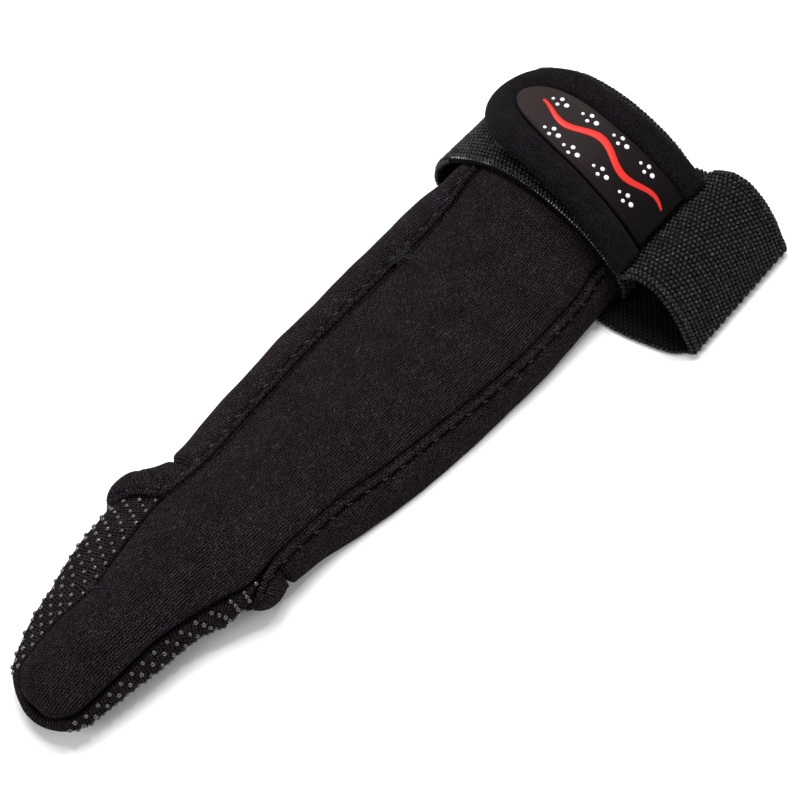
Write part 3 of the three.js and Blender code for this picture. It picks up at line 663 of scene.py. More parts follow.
# Painted shade along the pocket's seam and at its mouth.
mouth_near = np.minimum(pocket_reach, pocket_reach[-1] - pocket_reach)
pocket_shade = np.exp(-(pocket_run / 0.75) ** 2) + np.exp(-(mouth_near / 0.8) ** 2)
pocket_piece = zipped("grip_pocket", pocket_front, pocket_inner, grip_knit, pocket_shade)
placed(pocket_piece, "grip_knit", "finger_pocket")

# Grip dots
# Small clear silicone domes printed on the pocket in staggered rows. They sit in
# the knit and shine where the cloth is matt.
DOT_SPACING = 2.8
DOT_WIDTH = 1.05
DOT_FREE_NOSE = 9.0
DOT_HEIGHT = 0.46
FIRST_DOT_ROW = 1.3
LAST_DOT_ROW = 17.0


def grown(name, points, ups, alongs, scales, shape, look, seed=0, turn_by=0.0, size_by=0.0):
    """Copies of one small shape, stood on points by a Geometry Nodes tree.

    Each point says which way is up, which way the shape lies and how big it is.
    """
    tree = bpy.data.node_groups.new(name, "GeometryNodeTree")
    tree.interface.new_socket("Points", in_out="INPUT", socket_type="NodeSocketGeometry")
    wanted = (("Shape", "Object", shape), ("Look", "Material", look), ("Seed", "Int", seed),
              ("Turn back", "Float", -turn_by), ("Turn on", "Float", turn_by),
              ("Least size", "Float", 1 - size_by), ("Most size", "Float", 1 + size_by))
    keys = {}
    for title, kind, _ in wanted:
        socket = tree.interface.new_socket(title, in_out="INPUT", socket_type="NodeSocket" + kind)
        keys[title] = socket.identifier
    tree.interface.new_socket("Copies", in_out="OUTPUT", socket_type="NodeSocketGeometry")
    given = tree.nodes.new("NodeGroupInput").outputs

    def node(kind, settings=None, inputs=None, out=0):
        made = tree.nodes.new(kind)
        for key, value in (settings or {}).items():
            setattr(made, key, value)
        for key, value in (inputs or {}).items():
            if isinstance(value, bpy.types.NodeSocket):
                tree.links.new(value, made.inputs[key])
            else:
                made.inputs[key].default_value = value
        return made.outputs[out]

    def stored(title):
        return node("GeometryNodeInputNamedAttribute", {"data_type": "FLOAT_VECTOR"}, {"Name": title})

    def chance(low, high):
        return node("FunctionNodeRandomValue", {"data_type": "FLOAT"},
                    {2: given[low], 3: given[high], "Seed": given["Seed"]}, out=1)

    stand = node("FunctionNodeAlignRotationToVector", {"axis": "Z"}, {"Vector": stored("up")})
    lie = node("FunctionNodeAlignRotationToVector", {"axis": "X", "pivot_axis": "Z"},
               {"Rotation": stand, "Vector": stored("along")})
    swing = node("ShaderNodeCombineXYZ", inputs={"Z": chance("Turn back", "Turn on")})
    local = node("FunctionNodeEulerToRotation", inputs={0: swing})
    turned = node("FunctionNodeRotateRotation", {"rotation_space": "LOCAL"}, {0: lie, 1: local})
    size = node("ShaderNodeVectorMath", {"operation": "SCALE"},
                {0: stored("size"), "Scale": chance("Least size", "Most size")})
    source = node("GeometryNodeObjectInfo", inputs={0: given["Shape"]}, out="Geometry")
    copies = node("GeometryNodeInstanceOnPoints", inputs={
        "Points": given["Points"], "Instance": source, "Rotation": turned, "Scale": size})
    real = node("GeometryNodeRealizeInstances", inputs={0: copies})
    dressed = node("GeometryNodeSetMaterial", inputs={"Geometry": real, "Material": given["Look"]})
    tree.links.new(dressed, tree.nodes.new("NodeGroupOutput").inputs[0])

    mesh = bpy.data.meshes.new(name + "_points")
    mesh.from_pydata(((points + SHIFT) * 0.001).tolist(), [], [])
    scales = np.broadcast_to(scales, points.shape)
    for title, values in (("up", ups), ("along", alongs), ("size", scales)):
        mesh.attributes.new(title, "FLOAT_VECTOR", "POINT").data.foreach_set(
            "vector", np.ascontiguousarray(values, np.float32).ravel())
    carrier = bpy.data.objects.new(name + "_points", mesh)
    bpy.context.collection.objects.link(carrier)
    modifier = carrier.modifiers.new("copies", "NODES")
    modifier.node_group = tree
    for title, _, value in wanted:
        modifier[keys[title]] = value
    bpy.context.view_layer.update()
    seen = carrier.evaluated_get(bpy.context.evaluated_depsgraph_get())
    mesh = bpy.data.meshes.new_from_object(seen)
    bpy.data.objects.remove(carrier)
    mesh.name = name
    mesh.polygons.foreach_set("use_smooth", np.ones(len(mesh.polygons), bool))
    piece = bpy.data.objects.new(name, mesh)
    bpy.context.collection.objects.link(piece)
    return piece


def shape_from(name, points, faces):
    """A small shape to be copied, one unit long and wide."""
    mesh = bpy.data.meshes.new(name)
    mesh.from_pydata(points, [], faces)
    return bpy.data.objects.new(name, mesh)


def tube_faces(rings, sides, first=0):
    """Faces of a tube through rings of points, then those that cap its start and end."""
    faces = []
    for k in range(rings - 1):
        for j in range(sides):
            a, b = first + k * sides + j, first + k * sides + (j + 1) % sides
            faces.append([a, b, b + sides, a + sides])
    faces.append([first + j for j in range(sides)][::-1])
    faces.append([first + (rings - 1) * sides + j for j in range(sides)])
    return faces


def round_dome(name, sink):
    """A low dome on a round base, closed below."""
    sides = 10
    points = []
    for height, width in ((-sink, 1.0), (0.35, 0.93), (0.75, 0.66), (0.95, 0.32)):
        for k in range(sides):
            angle = 2 * math.pi * k / sides
            points.append((width * math.cos(angle) / 2, width * math.sin(angle) / 2, height))
    points.append((0, 0, 1.0))
    top = 3 * sides
    tip = [(top + k, top + (k + 1) % sides, top + sides) for k in range(sides)]
    return shape_from(name, points, tube_faces(4, sides)[:-1] + tip)


def on_grid(grid, rows, columns):
    """Values of a grid at places between its rows and columns."""
    r = np.clip(rows, 0, grid.shape[0] - 1.001)
    c = np.clip(columns, 0, grid.shape[1] - 1.001)
    i, j = r.astype(int), c.astype(int)
    u, v = (r - i)[:, None], (c - j)[:, None]
    near = grid[i, j] * (1 - v) + grid[i, j + 1] * v
    far = grid[i + 1, j] * (1 - v) + grid[i + 1, j + 1] * v
    return near * (1 - u) + far * u


def dot_places():
    """Rows and columns of the pocket's grid where dots sit, staggered in rows."""
    reach = lengths(pocket_outer[:, 14])
    nose_reach = reach[np.argmin(pocket_outer[:, 14, 0])]
    places = []
    for k, height in enumerate(np.arange(FIRST_DOT_ROW, LAST_DOT_ROW, DOT_SPACING * 0.62)):
        start = DOT_SPACING * (0.35 + 0.5 * (k % 2))
        for at in np.arange(start, reach[-1] - 0.8, DOT_SPACING):
            row = float(np.interp(at, reach, np.arange(len(reach))))
            run = pocket_run[int(round(row))]
            if height < run[-1] - 1.0 and abs(at - nose_reach) > DOT_FREE_NOSE:
                places.append((row, float(np.interp(height, run, np.arange(len(run))))))
    return np.array(places)


grip_silicone = grained("grip_silicone", 0.8, (0.004, 0.0035, 0.004), (0.016, 0.014, 0.016), 0.8,
                        0.08, 0.08, coat=0.35)
dots = dot_places()
dot_points = on_grid(pocket_front, dots[:, 0], dots[:, 1])
dot_ups = unit(on_grid(pocket_normals, dots[:, 0], dots[:, 1]))
clear = dot_points[:, 2] > 0.9
dot_points, dot_ups = dot_points[clear], dot_ups[clear]
dot_alongs = np.tile([1.0, 0, 0], (len(dot_points), 1))
dot_piece = grown("grip_dots", dot_points, dot_ups, dot_alongs,
                  np.array([DOT_WIDTH, DOT_WIDTH, DOT_HEIGHT]) * 0.001,
                  round_dome("dot_shape", 0.3), grip_silicone, seed=5, turn_by=3.0, size_by=0.12)
placed(dot_piece, "grip_knit")
cut_area(pocket_front)

# Edge band
# One strip of ribbed stretch knit sewn down the left edge of the panel, round the
# pocket's mouth under the finger, and back along the right edge. Its free edge is
# folded, and it swells into soft lobes beside the mouth.
EDGE_BAND = 2.3
BAND_BULGE = 2.4
LIP_GAP = 0.55
EDGE = table(
    "at right right_z left left_z",
    (0.284, -0.334, 0.12, 0.45, 0.15),
    (0.312, -0.345, 0.085, 0.426, 0.14),
    (0.339, -0.356, 0.065, 0.43, 0.14),
    (0.372, -0.386, 0.04, 0.444, 0.14),
    (0.449, -0.444, 0.03, 0.464, 0.14),
    (0.526, -0.48, 0.02, 0.48, 0.14),
    (0.603, -0.5, 0.02, 0.478, 0.18),
    (0.68, -0.514, 0.03, 0.466, 0.27),
    (0.763, -0.516, 0.09, 0.444, 0.4),
    (0.803, -0.512, 0.14, 0.396, 0.54),
    (1.0, -0.512, 0.14, 0.396, 0.54),
)
LIP = {
    "left": table(
        "along back side up swell",
        (0, 1.345, 0.47, 0.19, 1.17),
        (0.24, 1.29, 0.5, 0.14, 1.71),
        (0.41, 1.235, 0.48, 0.07, 2),
        (0.57, 1.2, 0.4, 0.01, 1.04),
        (0.7, 1.23, 0.24, 0, 0),
        (1, 1.23, 0.08, 0, 0),
    ),
    "right": table(
        "along back side up swell",
        (0, 1.345, -0.33, 0.165, 1),
        (0.11, 1.32, -0.32, 0.115, 1.5),
        (0.28, 1.28, -0.285, 0.055, 1.67),
        (0.52, 1.245, -0.19, 0.007, 0.33),
        (0.7, 1.235, -0.09, 0, 0),
        (1, 1.23, 0.08, 0, 0),
    ),
}
band_shares = np.concatenate([np.linspace(0, 0.3, 16), np.linspace(0.3, 1, 20)[1:]])


def side_section(row, side):
    seam = seam_at(row, side)
    edge = edge_line(EDGE, station_at[row], side)
    start = seam["point"] + unit(edge - seam["point"]) * SEAM_GAP
    return start, edge, seam["down"], BAND_BULGE


def lip_section(side, c):
    mouth = 0 if side == "left" else -1
    along = c / pocket_steps
    value = row_at(LIP[side], "along", along)
    edge = np.array([value["back"] * POCKET_LENGTH, value["side"] * PANEL_WIDTH,
                     max(value["up"], 0) * POCKET_HEIGHT])
    rim = pocket_outer[mouth, c]
    start = rim + unit(edge - rim) * LIP_GAP
    down = pocket_downs[mouth] if c == 0 else -pocket_normals[mouth, c]
    return start, edge, down, value["swell"] * BAND_BULGE


last_station = len(station_at) - 1
sections = [side_section(r, "left") for r in range(last_station, mouth_station + 2, -1)]
sections += [lip_section("left", c) for c in range(pocket_steps + 1)]
sections += [lip_section("right", c) for c in range(pocket_steps - 1, -1, -1)]
sections += [side_section(r, "right") for r in range(mouth_station + 3, last_station + 1)]
band_start, band_edge, band_wallway = (np.array([s[k] for s in sections]) for k in range(3))
band_swell = np.array([s[3] for s in sections])


def eased(values, rounds):
    """Values of a row of sections, evened out with their neighbours."""
    for _ in range(rounds):
        inner = (values[:-2] + 2 * values[1:-1] + values[2:]) / 4
        values = np.concatenate([values[:1], inner, values[-1:]])
    return values


def finer(values):
    """The same rows with one more halfway between each pair."""
    return np.insert(values, np.arange(1, len(values)), (values[:-1] + values[1:]) / 2, axis=0)


band_start, band_edge, band_wallway, band_swell = (
    finer(v) for v in (band_start, band_edge, band_wallway, band_swell))
band_edge = eased(band_edge, 12)
band_middle = eased((band_start + band_edge) / 2, 8)
band_out = unit(eased(np.cross(band_edge - band_start, np.gradient(band_middle, axis=0)), 8))
pull = (band_start + band_edge) / 2 + band_out * band_swell[:, None]
s = band_shares[None, :, None]
band_outer = (1 - s)**2 * band_start[:, None] + 2 * s * (1 - s) * pull[:, None]
band_outer += s**2 * band_edge[:, None]
band_outer[..., 2] = np.maximum(band_outer[..., 2], 0)
band_normals = grid_normals(band_outer)
band_run = row_run(band_outer)
band_along = lengths(band_start)[:, None]
STITCH_STEP = 4.6
PIPING_WIDTH = 1.15
NOTCHES = (((56.6, 20.1), 0.85), ((52.2, -15.5), 0.4))
NOTCH_WIDTH = 0.85
NOTCH_DEPTH = 1.5
LOBE_REACH = 7.0
arc = np.abs(np.sin(math.pi * band_along / STITCH_STEP))
seam_line = PIPING_WIDTH + 0.1 + 0.5 * arc ** 1.4
tight = np.exp(-((band_run - seam_line) / 0.22) ** 2) * (0.62 - 0.2 * arc)
pucker = np.exp(-((band_run - 1.9) / 0.9) ** 2) * (0.18 + 0.3 * (1 - arc) ** 2)
puff = 0.34 * np.sin(math.pi * band_shares)[None, :]
band_dip = tight + pucker - puff - 0.13 * soft_wave(band_outer, 7, 0.4)
notch_shade = 0.0
for (notch_x, notch_y), lobe in NOTCHES:
    gap = np.hypot(band_edge[:, 0] - notch_x, band_edge[:, 1] - notch_y)
    beside = band_along - band_along[np.argmin(gap)]
    outward = np.clip((band_run - PIPING_WIDTH) / 4.0, 0, 1)
    band_dip = band_dip + NOTCH_DEPTH * np.exp(-(beside / NOTCH_WIDTH) ** 2) * outward
    # Painted shade in each notch, added to the band's shade.
    notch_shade = notch_shade + 0.75 * np.exp(-(beside / 0.4) ** 2)
    towards_mouth = 1 if notch_y > 0 else -1
    swell = np.clip(1 - ((beside * towards_mouth - LOBE_REACH) / (LOBE_REACH - 2.0)) ** 2, 0, 1)
    band_dip = band_dip - lobe * swell * outward * (1 - 0.45 * band_shares[None, :])
band_front = band_outer - band_normals * band_dip[..., None]
band_front[..., 2] = np.maximum(band_front[..., 2], 0)
band_rear = band_outer - band_normals * EDGE_BAND
band_rear[:, 0] = band_outer[:, 0] + band_wallway * EDGE_BAND
band_rear[..., 2] = np.maximum(band_rear[..., 2], 0)
band_loops = rounded(band_front, band_rear, 0.25)
band_loops[..., 2] = np.maximum(band_loops[..., 2], 0)
band_knit = knit_look(
    "band_knit", (0.0007, 0.0005, 0.0007, 1), (0.037, 0.0278, 0.035, 1), 0.58, 0.7, False, 0.12,
    fuzz=1.2)
band_across = loop_across(band_run, band_loops, len(band_shares))
band_piece = sleeve("edge_strip", band_loops, band_along, band_across, band_knit)
# Painted shade in the seam, its puckers, along the sewn edge and in the notches.
band_shade = 1.3 * tight + 0.35 * pucker + np.exp(-(band_run / 0.3) ** 2) + notch_shade
paint_shade(band_piece, loop_shade(band_shade, band_loops, 0.3))
placed(band_piece, "band_knit", "edge_band")

# Piping
# A narrow folded strip of the same knit, caught in the seam between the panel and
# the band, so that it stands up as a ridge beside the stitches.
PIPING_HEIGHT = 0.95
STRAP_WIDTH = 36
STRAP_OVERHANG = 3.4
STRAP_START = GUARD_LENGTH + STRAP_OVERHANG - STRAP_WIDTH
PIPING_START = STRAP_START + 1.0


def ridge(name, path, up, side, width, height, along, look):
    """A rounded ridge swept along a path."""
    angles = np.linspace(0, 2 * math.pi, 14, endpoint=False)
    rows = []
    for angle in angles:
        rows.append(path + side * (width / 2) * math.cos(angle) + up * (height / 2) * math.sin(angle))
    loops = np.stack(rows, 1)
    around = np.broadcast_to(width * np.cos(angles)[None, :] / 2, loops.shape[:2])
    return sleeve(name, loops, along, around, look)


piping_side = unit(band_outer[:, 4] - band_outer[:, 0])
piping_twist = 0.07 * np.sin(2 * math.pi * band_along / 2.3 + 0.6 * np.sin(band_along / 3.1))
piping_path = eased(band_start + piping_side * (PIPING_WIDTH / 2 - 0.05) + band_out * 0.22, 2)
piping_path = piping_path + piping_side * piping_twist
piping_path[:, 2] = np.maximum(piping_path[:, 2], PIPING_HEIGHT / 2 + 0.12)
shown = piping_path[:, 0] < PIPING_START
piping_path = piping_path[shown]
piping_piece = ridge("seam_piping", piping_path, band_out[shown], piping_side[shown], PIPING_WIDTH,
                     PIPING_HEIGHT, lengths(piping_path)[:, None], band_knit)
placed(piping_piece, "band_knit")

# Seam stitches
# A zigzag thread holds piping and band together: every few millimetres it hooks
# over the seam, and its turns catch the light.
STITCH_LENGTH = 1.25
STITCH_WIDTH = 0.26


def small_stitch(name):
    """A short thread one unit long and wide, bowed like a hook, with six sides."""
    points = []
    count, sides = 9, 6
    for k in range(count):
        t = k / (count - 1)
        middle = ((t - 0.5), 0.55 * math.sin(math.pi * t) ** 1.5, 0.45 * math.sin(math.pi * t) - 0.25)
        thin = 0.35 + 0.65 * math.sin(math.pi * min(max(t, 0.08), 0.92))
        for j in range(sides):
            angle = 2 * math.pi * j / sides
            points.append((middle[0], middle[1] + 0.5 * thin * math.cos(angle),
                           middle[2] + 0.5 * thin * math.sin(angle)))
    return shape_from(name, points, tube_faces(count, sides))


sewing_thread = grained("sewing_thread", 0.15, (0.012, 0.011, 0.014), (0.085, 0.08, 0.095), 0.3, 0.4)
stitch_at = np.arange(0.0, band_along[-1, 0], STITCH_STEP)
stitch_at = np.stack([stitch_at, stitch_at + 0.75], 1).ravel()
rows = np.interp(stitch_at, band_along[:, 0], np.arange(len(band_along)))
small = np.arange(len(stitch_at)) % 2 == 1
seam_reach = np.where(small, PIPING_WIDTH + 0.5, PIPING_WIDTH + 0.15)
band_column = np.array([np.interp(reach, band_run[int(row)], np.arange(len(band_shares)))
                        for row, reach in zip(rows, seam_reach)])
stitch_ups = unit(on_grid(band_normals, rows, band_column))
stitch_points = on_grid(band_outer, rows, band_column) + stitch_ups * 0.14
tangent = unit(np.gradient(band_start, axis=0))
near_row = rows.astype(int)
stitch_alongs = tangent[near_row] * 0.75 + piping_side[near_row] * np.where(small, 0.15, 0.8)[:, None]
kept = (stitch_points[:, 0] < PIPING_START - 1.5) & (stitch_points[:, 2] > 0.6)
stitch_sizes = np.array([STITCH_LENGTH, STITCH_WIDTH, STITCH_WIDTH]) * 0.001
stitch_sizes = stitch_sizes * np.where(small, 0.8, 1.0)[:, None]
stitch_piece = grown("seam_stitches", stitch_points[kept], stitch_ups[kept], stitch_alongs[kept],
                     stitch_sizes[kept], small_stitch("stitch_shape"), sewing_thread, seed=11,
                     turn_by=0.25, size_by=0.2)
placed(stitch_piece, "band_knit")
cut_area(band_front)

# Loose threads
# A tuft of broken ends where the left seam was finished, and a few stray fibres
# and bits of lint that lie on the cloth.


def strands(name, roots, ups, reach, count, seed, look, width):
    """Fine curved hairs standing from each root, each a thin tube that tapers."""
    chance = np.random.default_rng(seed)
    points, faces = [], []
    knots, sides = 9, 4
    for root, up, far in zip(roots, ups, reach):
        for _ in range(count):
            level = unit(np.cross(up, chance.normal(size=3)))
            bend = unit(np.cross(up, level)) * chance.uniform(-0.7, 0.7)
            size = far * chance.uniform(0.5, 1.0)
            lift = chance.uniform(0.1, 0.45)
            first = len(points)
            for k in range(knots):
                t = k / (knots - 1)
                middle = root + level * (size * t) + bend * (size * t * t)
                middle = middle + up * (0.15 + size * lift * math.sin(math.pi * t * 0.9))
                for j in range(sides):
                    turn_by = 2 * math.pi * j / sides
                    around = up * math.sin(turn_by) + unit(np.cross(up, level)) * math.cos(turn_by)
                    points.append(middle + around * (width / 2 * (1 - 0.6 * t)))
            faces += tube_faces(knots, sides, first)
    points = np.array(points)
    return mesh_from(name, points, facing_out(points, faces), None, look)


TUFT_AT = (122.4, 10.6)


def nearest(grid, x, y):
    """Row and column of the grid's point above a place."""
    far = np.hypot(grid[..., 0] - x, grid[..., 1] - y)
    return np.unravel_index(np.argmin(far), far.shape)


tuft_row, _ = nearest(band_start[:, None], *TUFT_AT)
tuft_root = band_start[tuft_row] + band_out[tuft_row] * 0.6 - piping_side[tuft_row] * 0.5
broken_thread = grained("broken_thread", 0.4, (0.001, 0.001, 0.0013), (0.03, 0.03, 0.036), 0.2, 0.5)
tuft_roots = tuft_root + tangent[tuft_row] * np.linspace(-1.3, 1.3, 5)[:, None]
tuft_ups = np.tile(band_out[tuft_row], (5, 1))
tuft_piece = strands("thread_tuft", tuft_roots, tuft_ups, [2.4, 3.8, 4.8, 3.8, 2.8],
                     14, 21, broken_thread, 0.2)
placed(tuft_piece, "band_knit")
LINT = ((138.6, 14.2, 0.9), (60.0, 3.0, 1.0), (95.0, -9.0, 0.8),
        (24.0, 9.0, 1.4), (110.0, 2.0, 0.7), (80.0, 8.0, 0.8))
lint_roots, lint_ups, lint_reach = [], [], []
for lint_x, lint_y, far in LINT:
    r, c = nearest(panel_front, lint_x, lint_y)
    lint_roots.append(panel_front[r, c])
    lint_ups.append(-panel_down[r, c])
    lint_reach.append(far)
pale_lint = grained("pale_lint", 0.3, (0.05, 0.04, 0.045), (0.22, 0.19, 0.2), 0.2, 0.6)
lint_piece = strands("lint_hairs", lint_roots, lint_ups, lint_reach, 2, 8, pale_lint, 0.07)
placed(lint_piece, "neoprene_knit")

# Wrist strap
# Woven elastic webbing. One run lies over the guard, folds round its left edge,
# passes under it, stands out as a loose loop on the right and comes back up to
# the tab, to which its end is sewn.
STRAP_THICK = 1.6
LOOP_REACH = 22.1
LOOP_HEIGHT = 15.1
FOLD_REACH = 5.4
LAYER_GAP = 0.32
TUCK_SHARES = (0.15, 0.185, 0.22)
STRAP_DRAWN_IN = 3.1
NEAR_EDGE_IN = 0.6
SEWN_END = 9.0
HOOK_THICK = 1.5
SHOULDER = ((-0.26, 0.717), (0.33, 0.578), (0.69, 0.396), (0.8, 0.235))
LOOP = ((0.895, 0), (0.957, 0.05), (0.93, 0.12), (0.885, 0.2), (0.748, 0.49), (0.562, 0.748),
        (0.386, 0.887), (0.21, 0.9), (0.05, 0.775), (-0.03, 0.68))
FOLD = ((0.94, 1.5), (0.68, 0.75), (0.26, 0.5))
DRIFT = table(
    "side drift",
    (-0.93, -0.01),
    (-0.82, -0.08),
    (-0.55, -0.155),
    (-0.15, -0.135),
    (0.25, -0.05),
    (0.5, 0.01),
)
wrist_right = edge_line(EDGE, 1, "right")
wrist_left = edge_line(EDGE, 1, "left")
bezier_pull = (band_start[-1] + band_edge[-1]) / 2 + band_out[-1] * BAND_BULGE
outline = [wrist_right]
for share in (0.78, 0.42):
    outline.append((1 - share)**2 * band_start[-1] + 2 * share * (1 - share) * bezier_pull
                   + share**2 * band_edge[-1])
outline += list(arch([1.0], [0.02, 0.14, 0.3, 0.5, 0.7, 0.86, 0.98])[0])
for out, up in SHOULDER:
    outline.append(np.array([GUARD_LENGTH, wrist_left[1] + out * FOLD_REACH, up * ARCH_HEIGHT]))
OUTLINE_STEPS = 160
outline_points = spline(outline, OUTLINE_STEPS + 1)
outline_points[:, 0] = 0
before = outline_points[np.maximum(np.arange(OUTLINE_STEPS + 1) - 3, 0)]
after = outline_points[np.minimum(np.arange(OUTLINE_STEPS + 1) + 3, OUTLINE_STEPS)]
outline_along = unit(after - before)
outline_out = np.stack([0 * outline_along[:, 0], -outline_along[:, 2], outline_along[:, 1]], -1)


def over_arch(share, height, x):
    """Points at heights above the wrist's outline."""
    place = np.clip(np.asarray(share, float), 0, 1) * OUTLINE_STEPS
    steps = np.arange(OUTLINE_STEPS + 1)
    base = [np.interp(place, steps, outline_points[:, k]) for k in (1, 2)]
    out = [np.interp(place, steps, outline_out[:, k]) for k in (1, 2)]
    size = np.hypot(*out)
    y, z = (b + o / size * height for b, o in zip(base, out))
    return np.stack([np.broadcast_to(x, np.shape(y)), y, z], -1)


STRAP_TOP = LAYER_GAP + STRAP_THICK
TAB_UNDER = STRAP_TOP + 2 * LAYER_GAP + max(STRAP_THICK, HOOK_THICK)
strap_knots = list(over_arch(np.arange(21) / 20, LAYER_GAP + STRAP_THICK / 2, STRAP_START))
for out, lift in FOLD:
    strap_knots.append(np.array([STRAP_START, wrist_left[1] + out * FOLD_REACH, lift * STRAP_THICK]))
table_from = wrist_left[1] - 0.4 * FOLD_REACH
table_to = wrist_right[1] - LOOP[0][0] * LOOP_REACH + 2
for y in np.linspace(table_from, table_to, 10):
    drift = float(follow(DRIFT, "side", "drift", y / PANEL_WIDTH)) * STRAP_WIDTH
    strap_knots.append(np.array([STRAP_START + drift, y, STRAP_THICK / 2]))
for out, up in LOOP:
    strap_knots.append(np.array([STRAP_START, wrist_right[1] - out * LOOP_REACH,
                                 up * LOOP_HEIGHT + STRAP_THICK / 2]))
strap_knots += list(over_arch(TUCK_SHARES, STRAP_TOP + LAYER_GAP + STRAP_THICK / 2, STRAP_START))
strap_steps, strap_columns = 420, 40
strap_line = spline(strap_knots, strap_steps + 1)
strap_line[:, 2] = np.maximum(strap_line[:, 2], STRAP_THICK / 2)
strap_run = lengths(strap_line)[:, None]
strap_side = np.linspace(0, STRAP_WIDTH, strap_columns + 1)[None, :]
strap_middle = np.repeat(strap_line[:, None], strap_columns + 1, 1)
over_end = strap_run[np.argmax(strap_line[:, 1] > wrist_left[1] + 2.0), 0]
drawn_in = np.clip(1.15 - strap_run / over_end, 0, 1) ** 0.5
drawn_in = np.maximum(drawn_in, 1.8 * np.clip((strap_run - strap_run[-1] + SEWN_END) / 7.0, 0, 1))
strap_middle[..., 0] += strap_side * (1 - drawn_in * STRAP_DRAWN_IN / STRAP_WIDTH)
strap_middle[..., 0] += np.minimum(drawn_in, 1) * NEAR_EDGE_IN
strap_out = grid_normals(strap_middle)
strap_front = strap_middle + strap_out * STRAP_THICK / 2
strap_rear = strap_middle - strap_out * STRAP_THICK / 2


def webbing_look():
    """Woven elastic: short raised picks in staggered rows, matt yarn with dry fibres."""
    look = Look("elastic_webbing")
    along, sideways = look.cloth()
    lane = sideways / 0.9
    pick = ((along + lane.odd() * 0.6) * (2 * math.pi / 1.2)).sine() * 0.5 + 0.5
    ridge_line = abs((lane * math.pi).sine()) ** 0.6
    fibre = look.noise(0.3, detail=3.0, rough=0.7)
    wear = look.noise(4, detail=3.0)
    crest = (pick * ridge_line * 0.7 + fibre * 0.4 + wear * 0.2 - 0.25).held()
    colour = look.blend(crest, (0.001, 0.0009, 0.001, 1), (0.013, 0.0118, 0.0128, 1))
    height = pick * ridge_line * 0.25 + fibre * 0.06
    return look.finish(
        {"Specular IOR Level": 0.05},
        Base_Color=colour, Roughness=fibre * 0.25 + 0.6, Normal=look.bump(height))


elastic_webbing = webbing_look()
WEAVE_SINK = 0.22
on_table = (strap_out[:, :1, 2] < -0.9) & (strap_line[:, None, 2] < 1.5)
weave_sink = np.where(on_table, 0.0, WEAVE_SINK)[..., None]
strap_front -= strap_out * weave_sink
strap_loops = rounded(strap_front, strap_rear, 0.35)
strap_sides = np.broadcast_to(strap_side, (strap_steps + 1, strap_columns + 1))
strap_across = loop_across(strap_sides, strap_loops, strap_columns + 1)
strap_piece = sleeve("elastic_strap", strap_loops, strap_run, strap_across, elastic_webbing)
placed(strap_piece, "elastic_webbing", "wrist_strap")

# Weave of the strap
# The webbing's weft yarns stand up as short rounded bricks in lanes along the
# strap, each lane half a brick on from the next. The selvedge turns them over.
LANE = 1.16
BRICK = 1.02
BRICK_HEIGHT = 0.46


def yarn_look():
    """Texturised polyester yarn: fine filaments along each brick, painted dry highlights."""
    look = Look("strap_yarn")
    filament = look.noise(0.16, detail=2.0, rough=0.6)
    worn = look.noise(2.6, detail=3.0)
    each = look.noise(0.8, detail=1.0)
    painted_glint = ((look.noise(0.4, detail=1.0) - 0.6) * 8.0).held()
    crest = (filament * 0.9 + worn * 0.4 + (each - 0.5) * 1.3 - 0.36).held()
    colour = look.blend(crest, (0.0014, 0.0012, 0.0015, 1), (0.046, 0.0415, 0.046, 1))
    # Painted highlights: pale glints blended into the colour where the glint noise and the worn noise
    # meet.
    colour = look.blend(painted_glint * worn, colour, (0.14, 0.135, 0.145, 1))
    return look.finish(
        {"Specular IOR Level": 0.12},
        Base_Color=colour, Roughness=filament * 0.2 + 0.36, Normal=look.bump(filament * 0.08))


def brick_dome(name):
    """A rounded brick one unit each way, closed below."""
    steps, sharp, sink = 5, 3.0, 0.25
    points = []
    for x in np.linspace(-1, 1, steps):
        for y in np.linspace(-1, 1, steps):
            rise = (1 - abs(x) ** sharp) * (1 - abs(y) ** sharp)
            points.append((x / 2, y / 2, rise * (1 + sink) - sink))
    ids = np.arange(steps * steps).reshape(steps, steps)
    quads = np.stack([ids[:-1, :-1], ids[1:, :-1], ids[1:, 1:], ids[:-1, 1:]], -1)
    faces = quads.reshape(-1, 4).tolist()
    border = np.concatenate([ids[:, 0], ids[-1, 1:], ids[-2::-1, -1], ids[0, -2:0:-1]])
    faces.append(border[::-1].tolist())
    return shape_from(name, points, faces)


def on_strap(rows, columns):
    """Points of the strap's outer face, and the ways out of it and along it."""
    along = on_grid(np.gradient(strap_middle, axis=0), rows, columns)
    return on_grid(strap_front, rows, columns), unit(on_grid(strap_out, rows, columns)), unit(along)


strap_yarn = yarn_look()
lanes = int(STRAP_WIDTH / LANE)
bricks = []
for lane in range(lanes + 1):
    side = (lane + 0.5 * (STRAP_WIDTH - (lanes - 1) * LANE) / LANE - 0.5) * LANE
    for at in np.arange(0.4 + (lane % 2) * BRICK / 2, strap_run[-1, 0] - 0.3, BRICK):
        bricks.append((float(np.interp(at, strap_run[:, 0], np.arange(strap_steps + 1))),
                       min(max(side, 0.5), STRAP_WIDTH - 0.55) / STRAP_WIDTH * strap_columns))
bricks = np.array(bricks)
brick_points, brick_ups, brick_alongs = on_strap(bricks[:, 0], bricks[:, 1])
shown = ~((brick_ups[:, 2] < -0.8) & (brick_points[:, 2] < 1.6)) & (brick_points[:, 2] > 0.66)
brick_points, brick_ups, brick_alongs = brick_points[shown], brick_ups[shown], brick_alongs[shown]
brick_sizes = np.tile([BRICK * 0.98, LANE * 0.94, BRICK_HEIGHT], (len(brick_points), 1))
strap_core = (strap_front + strap_rear) / 2
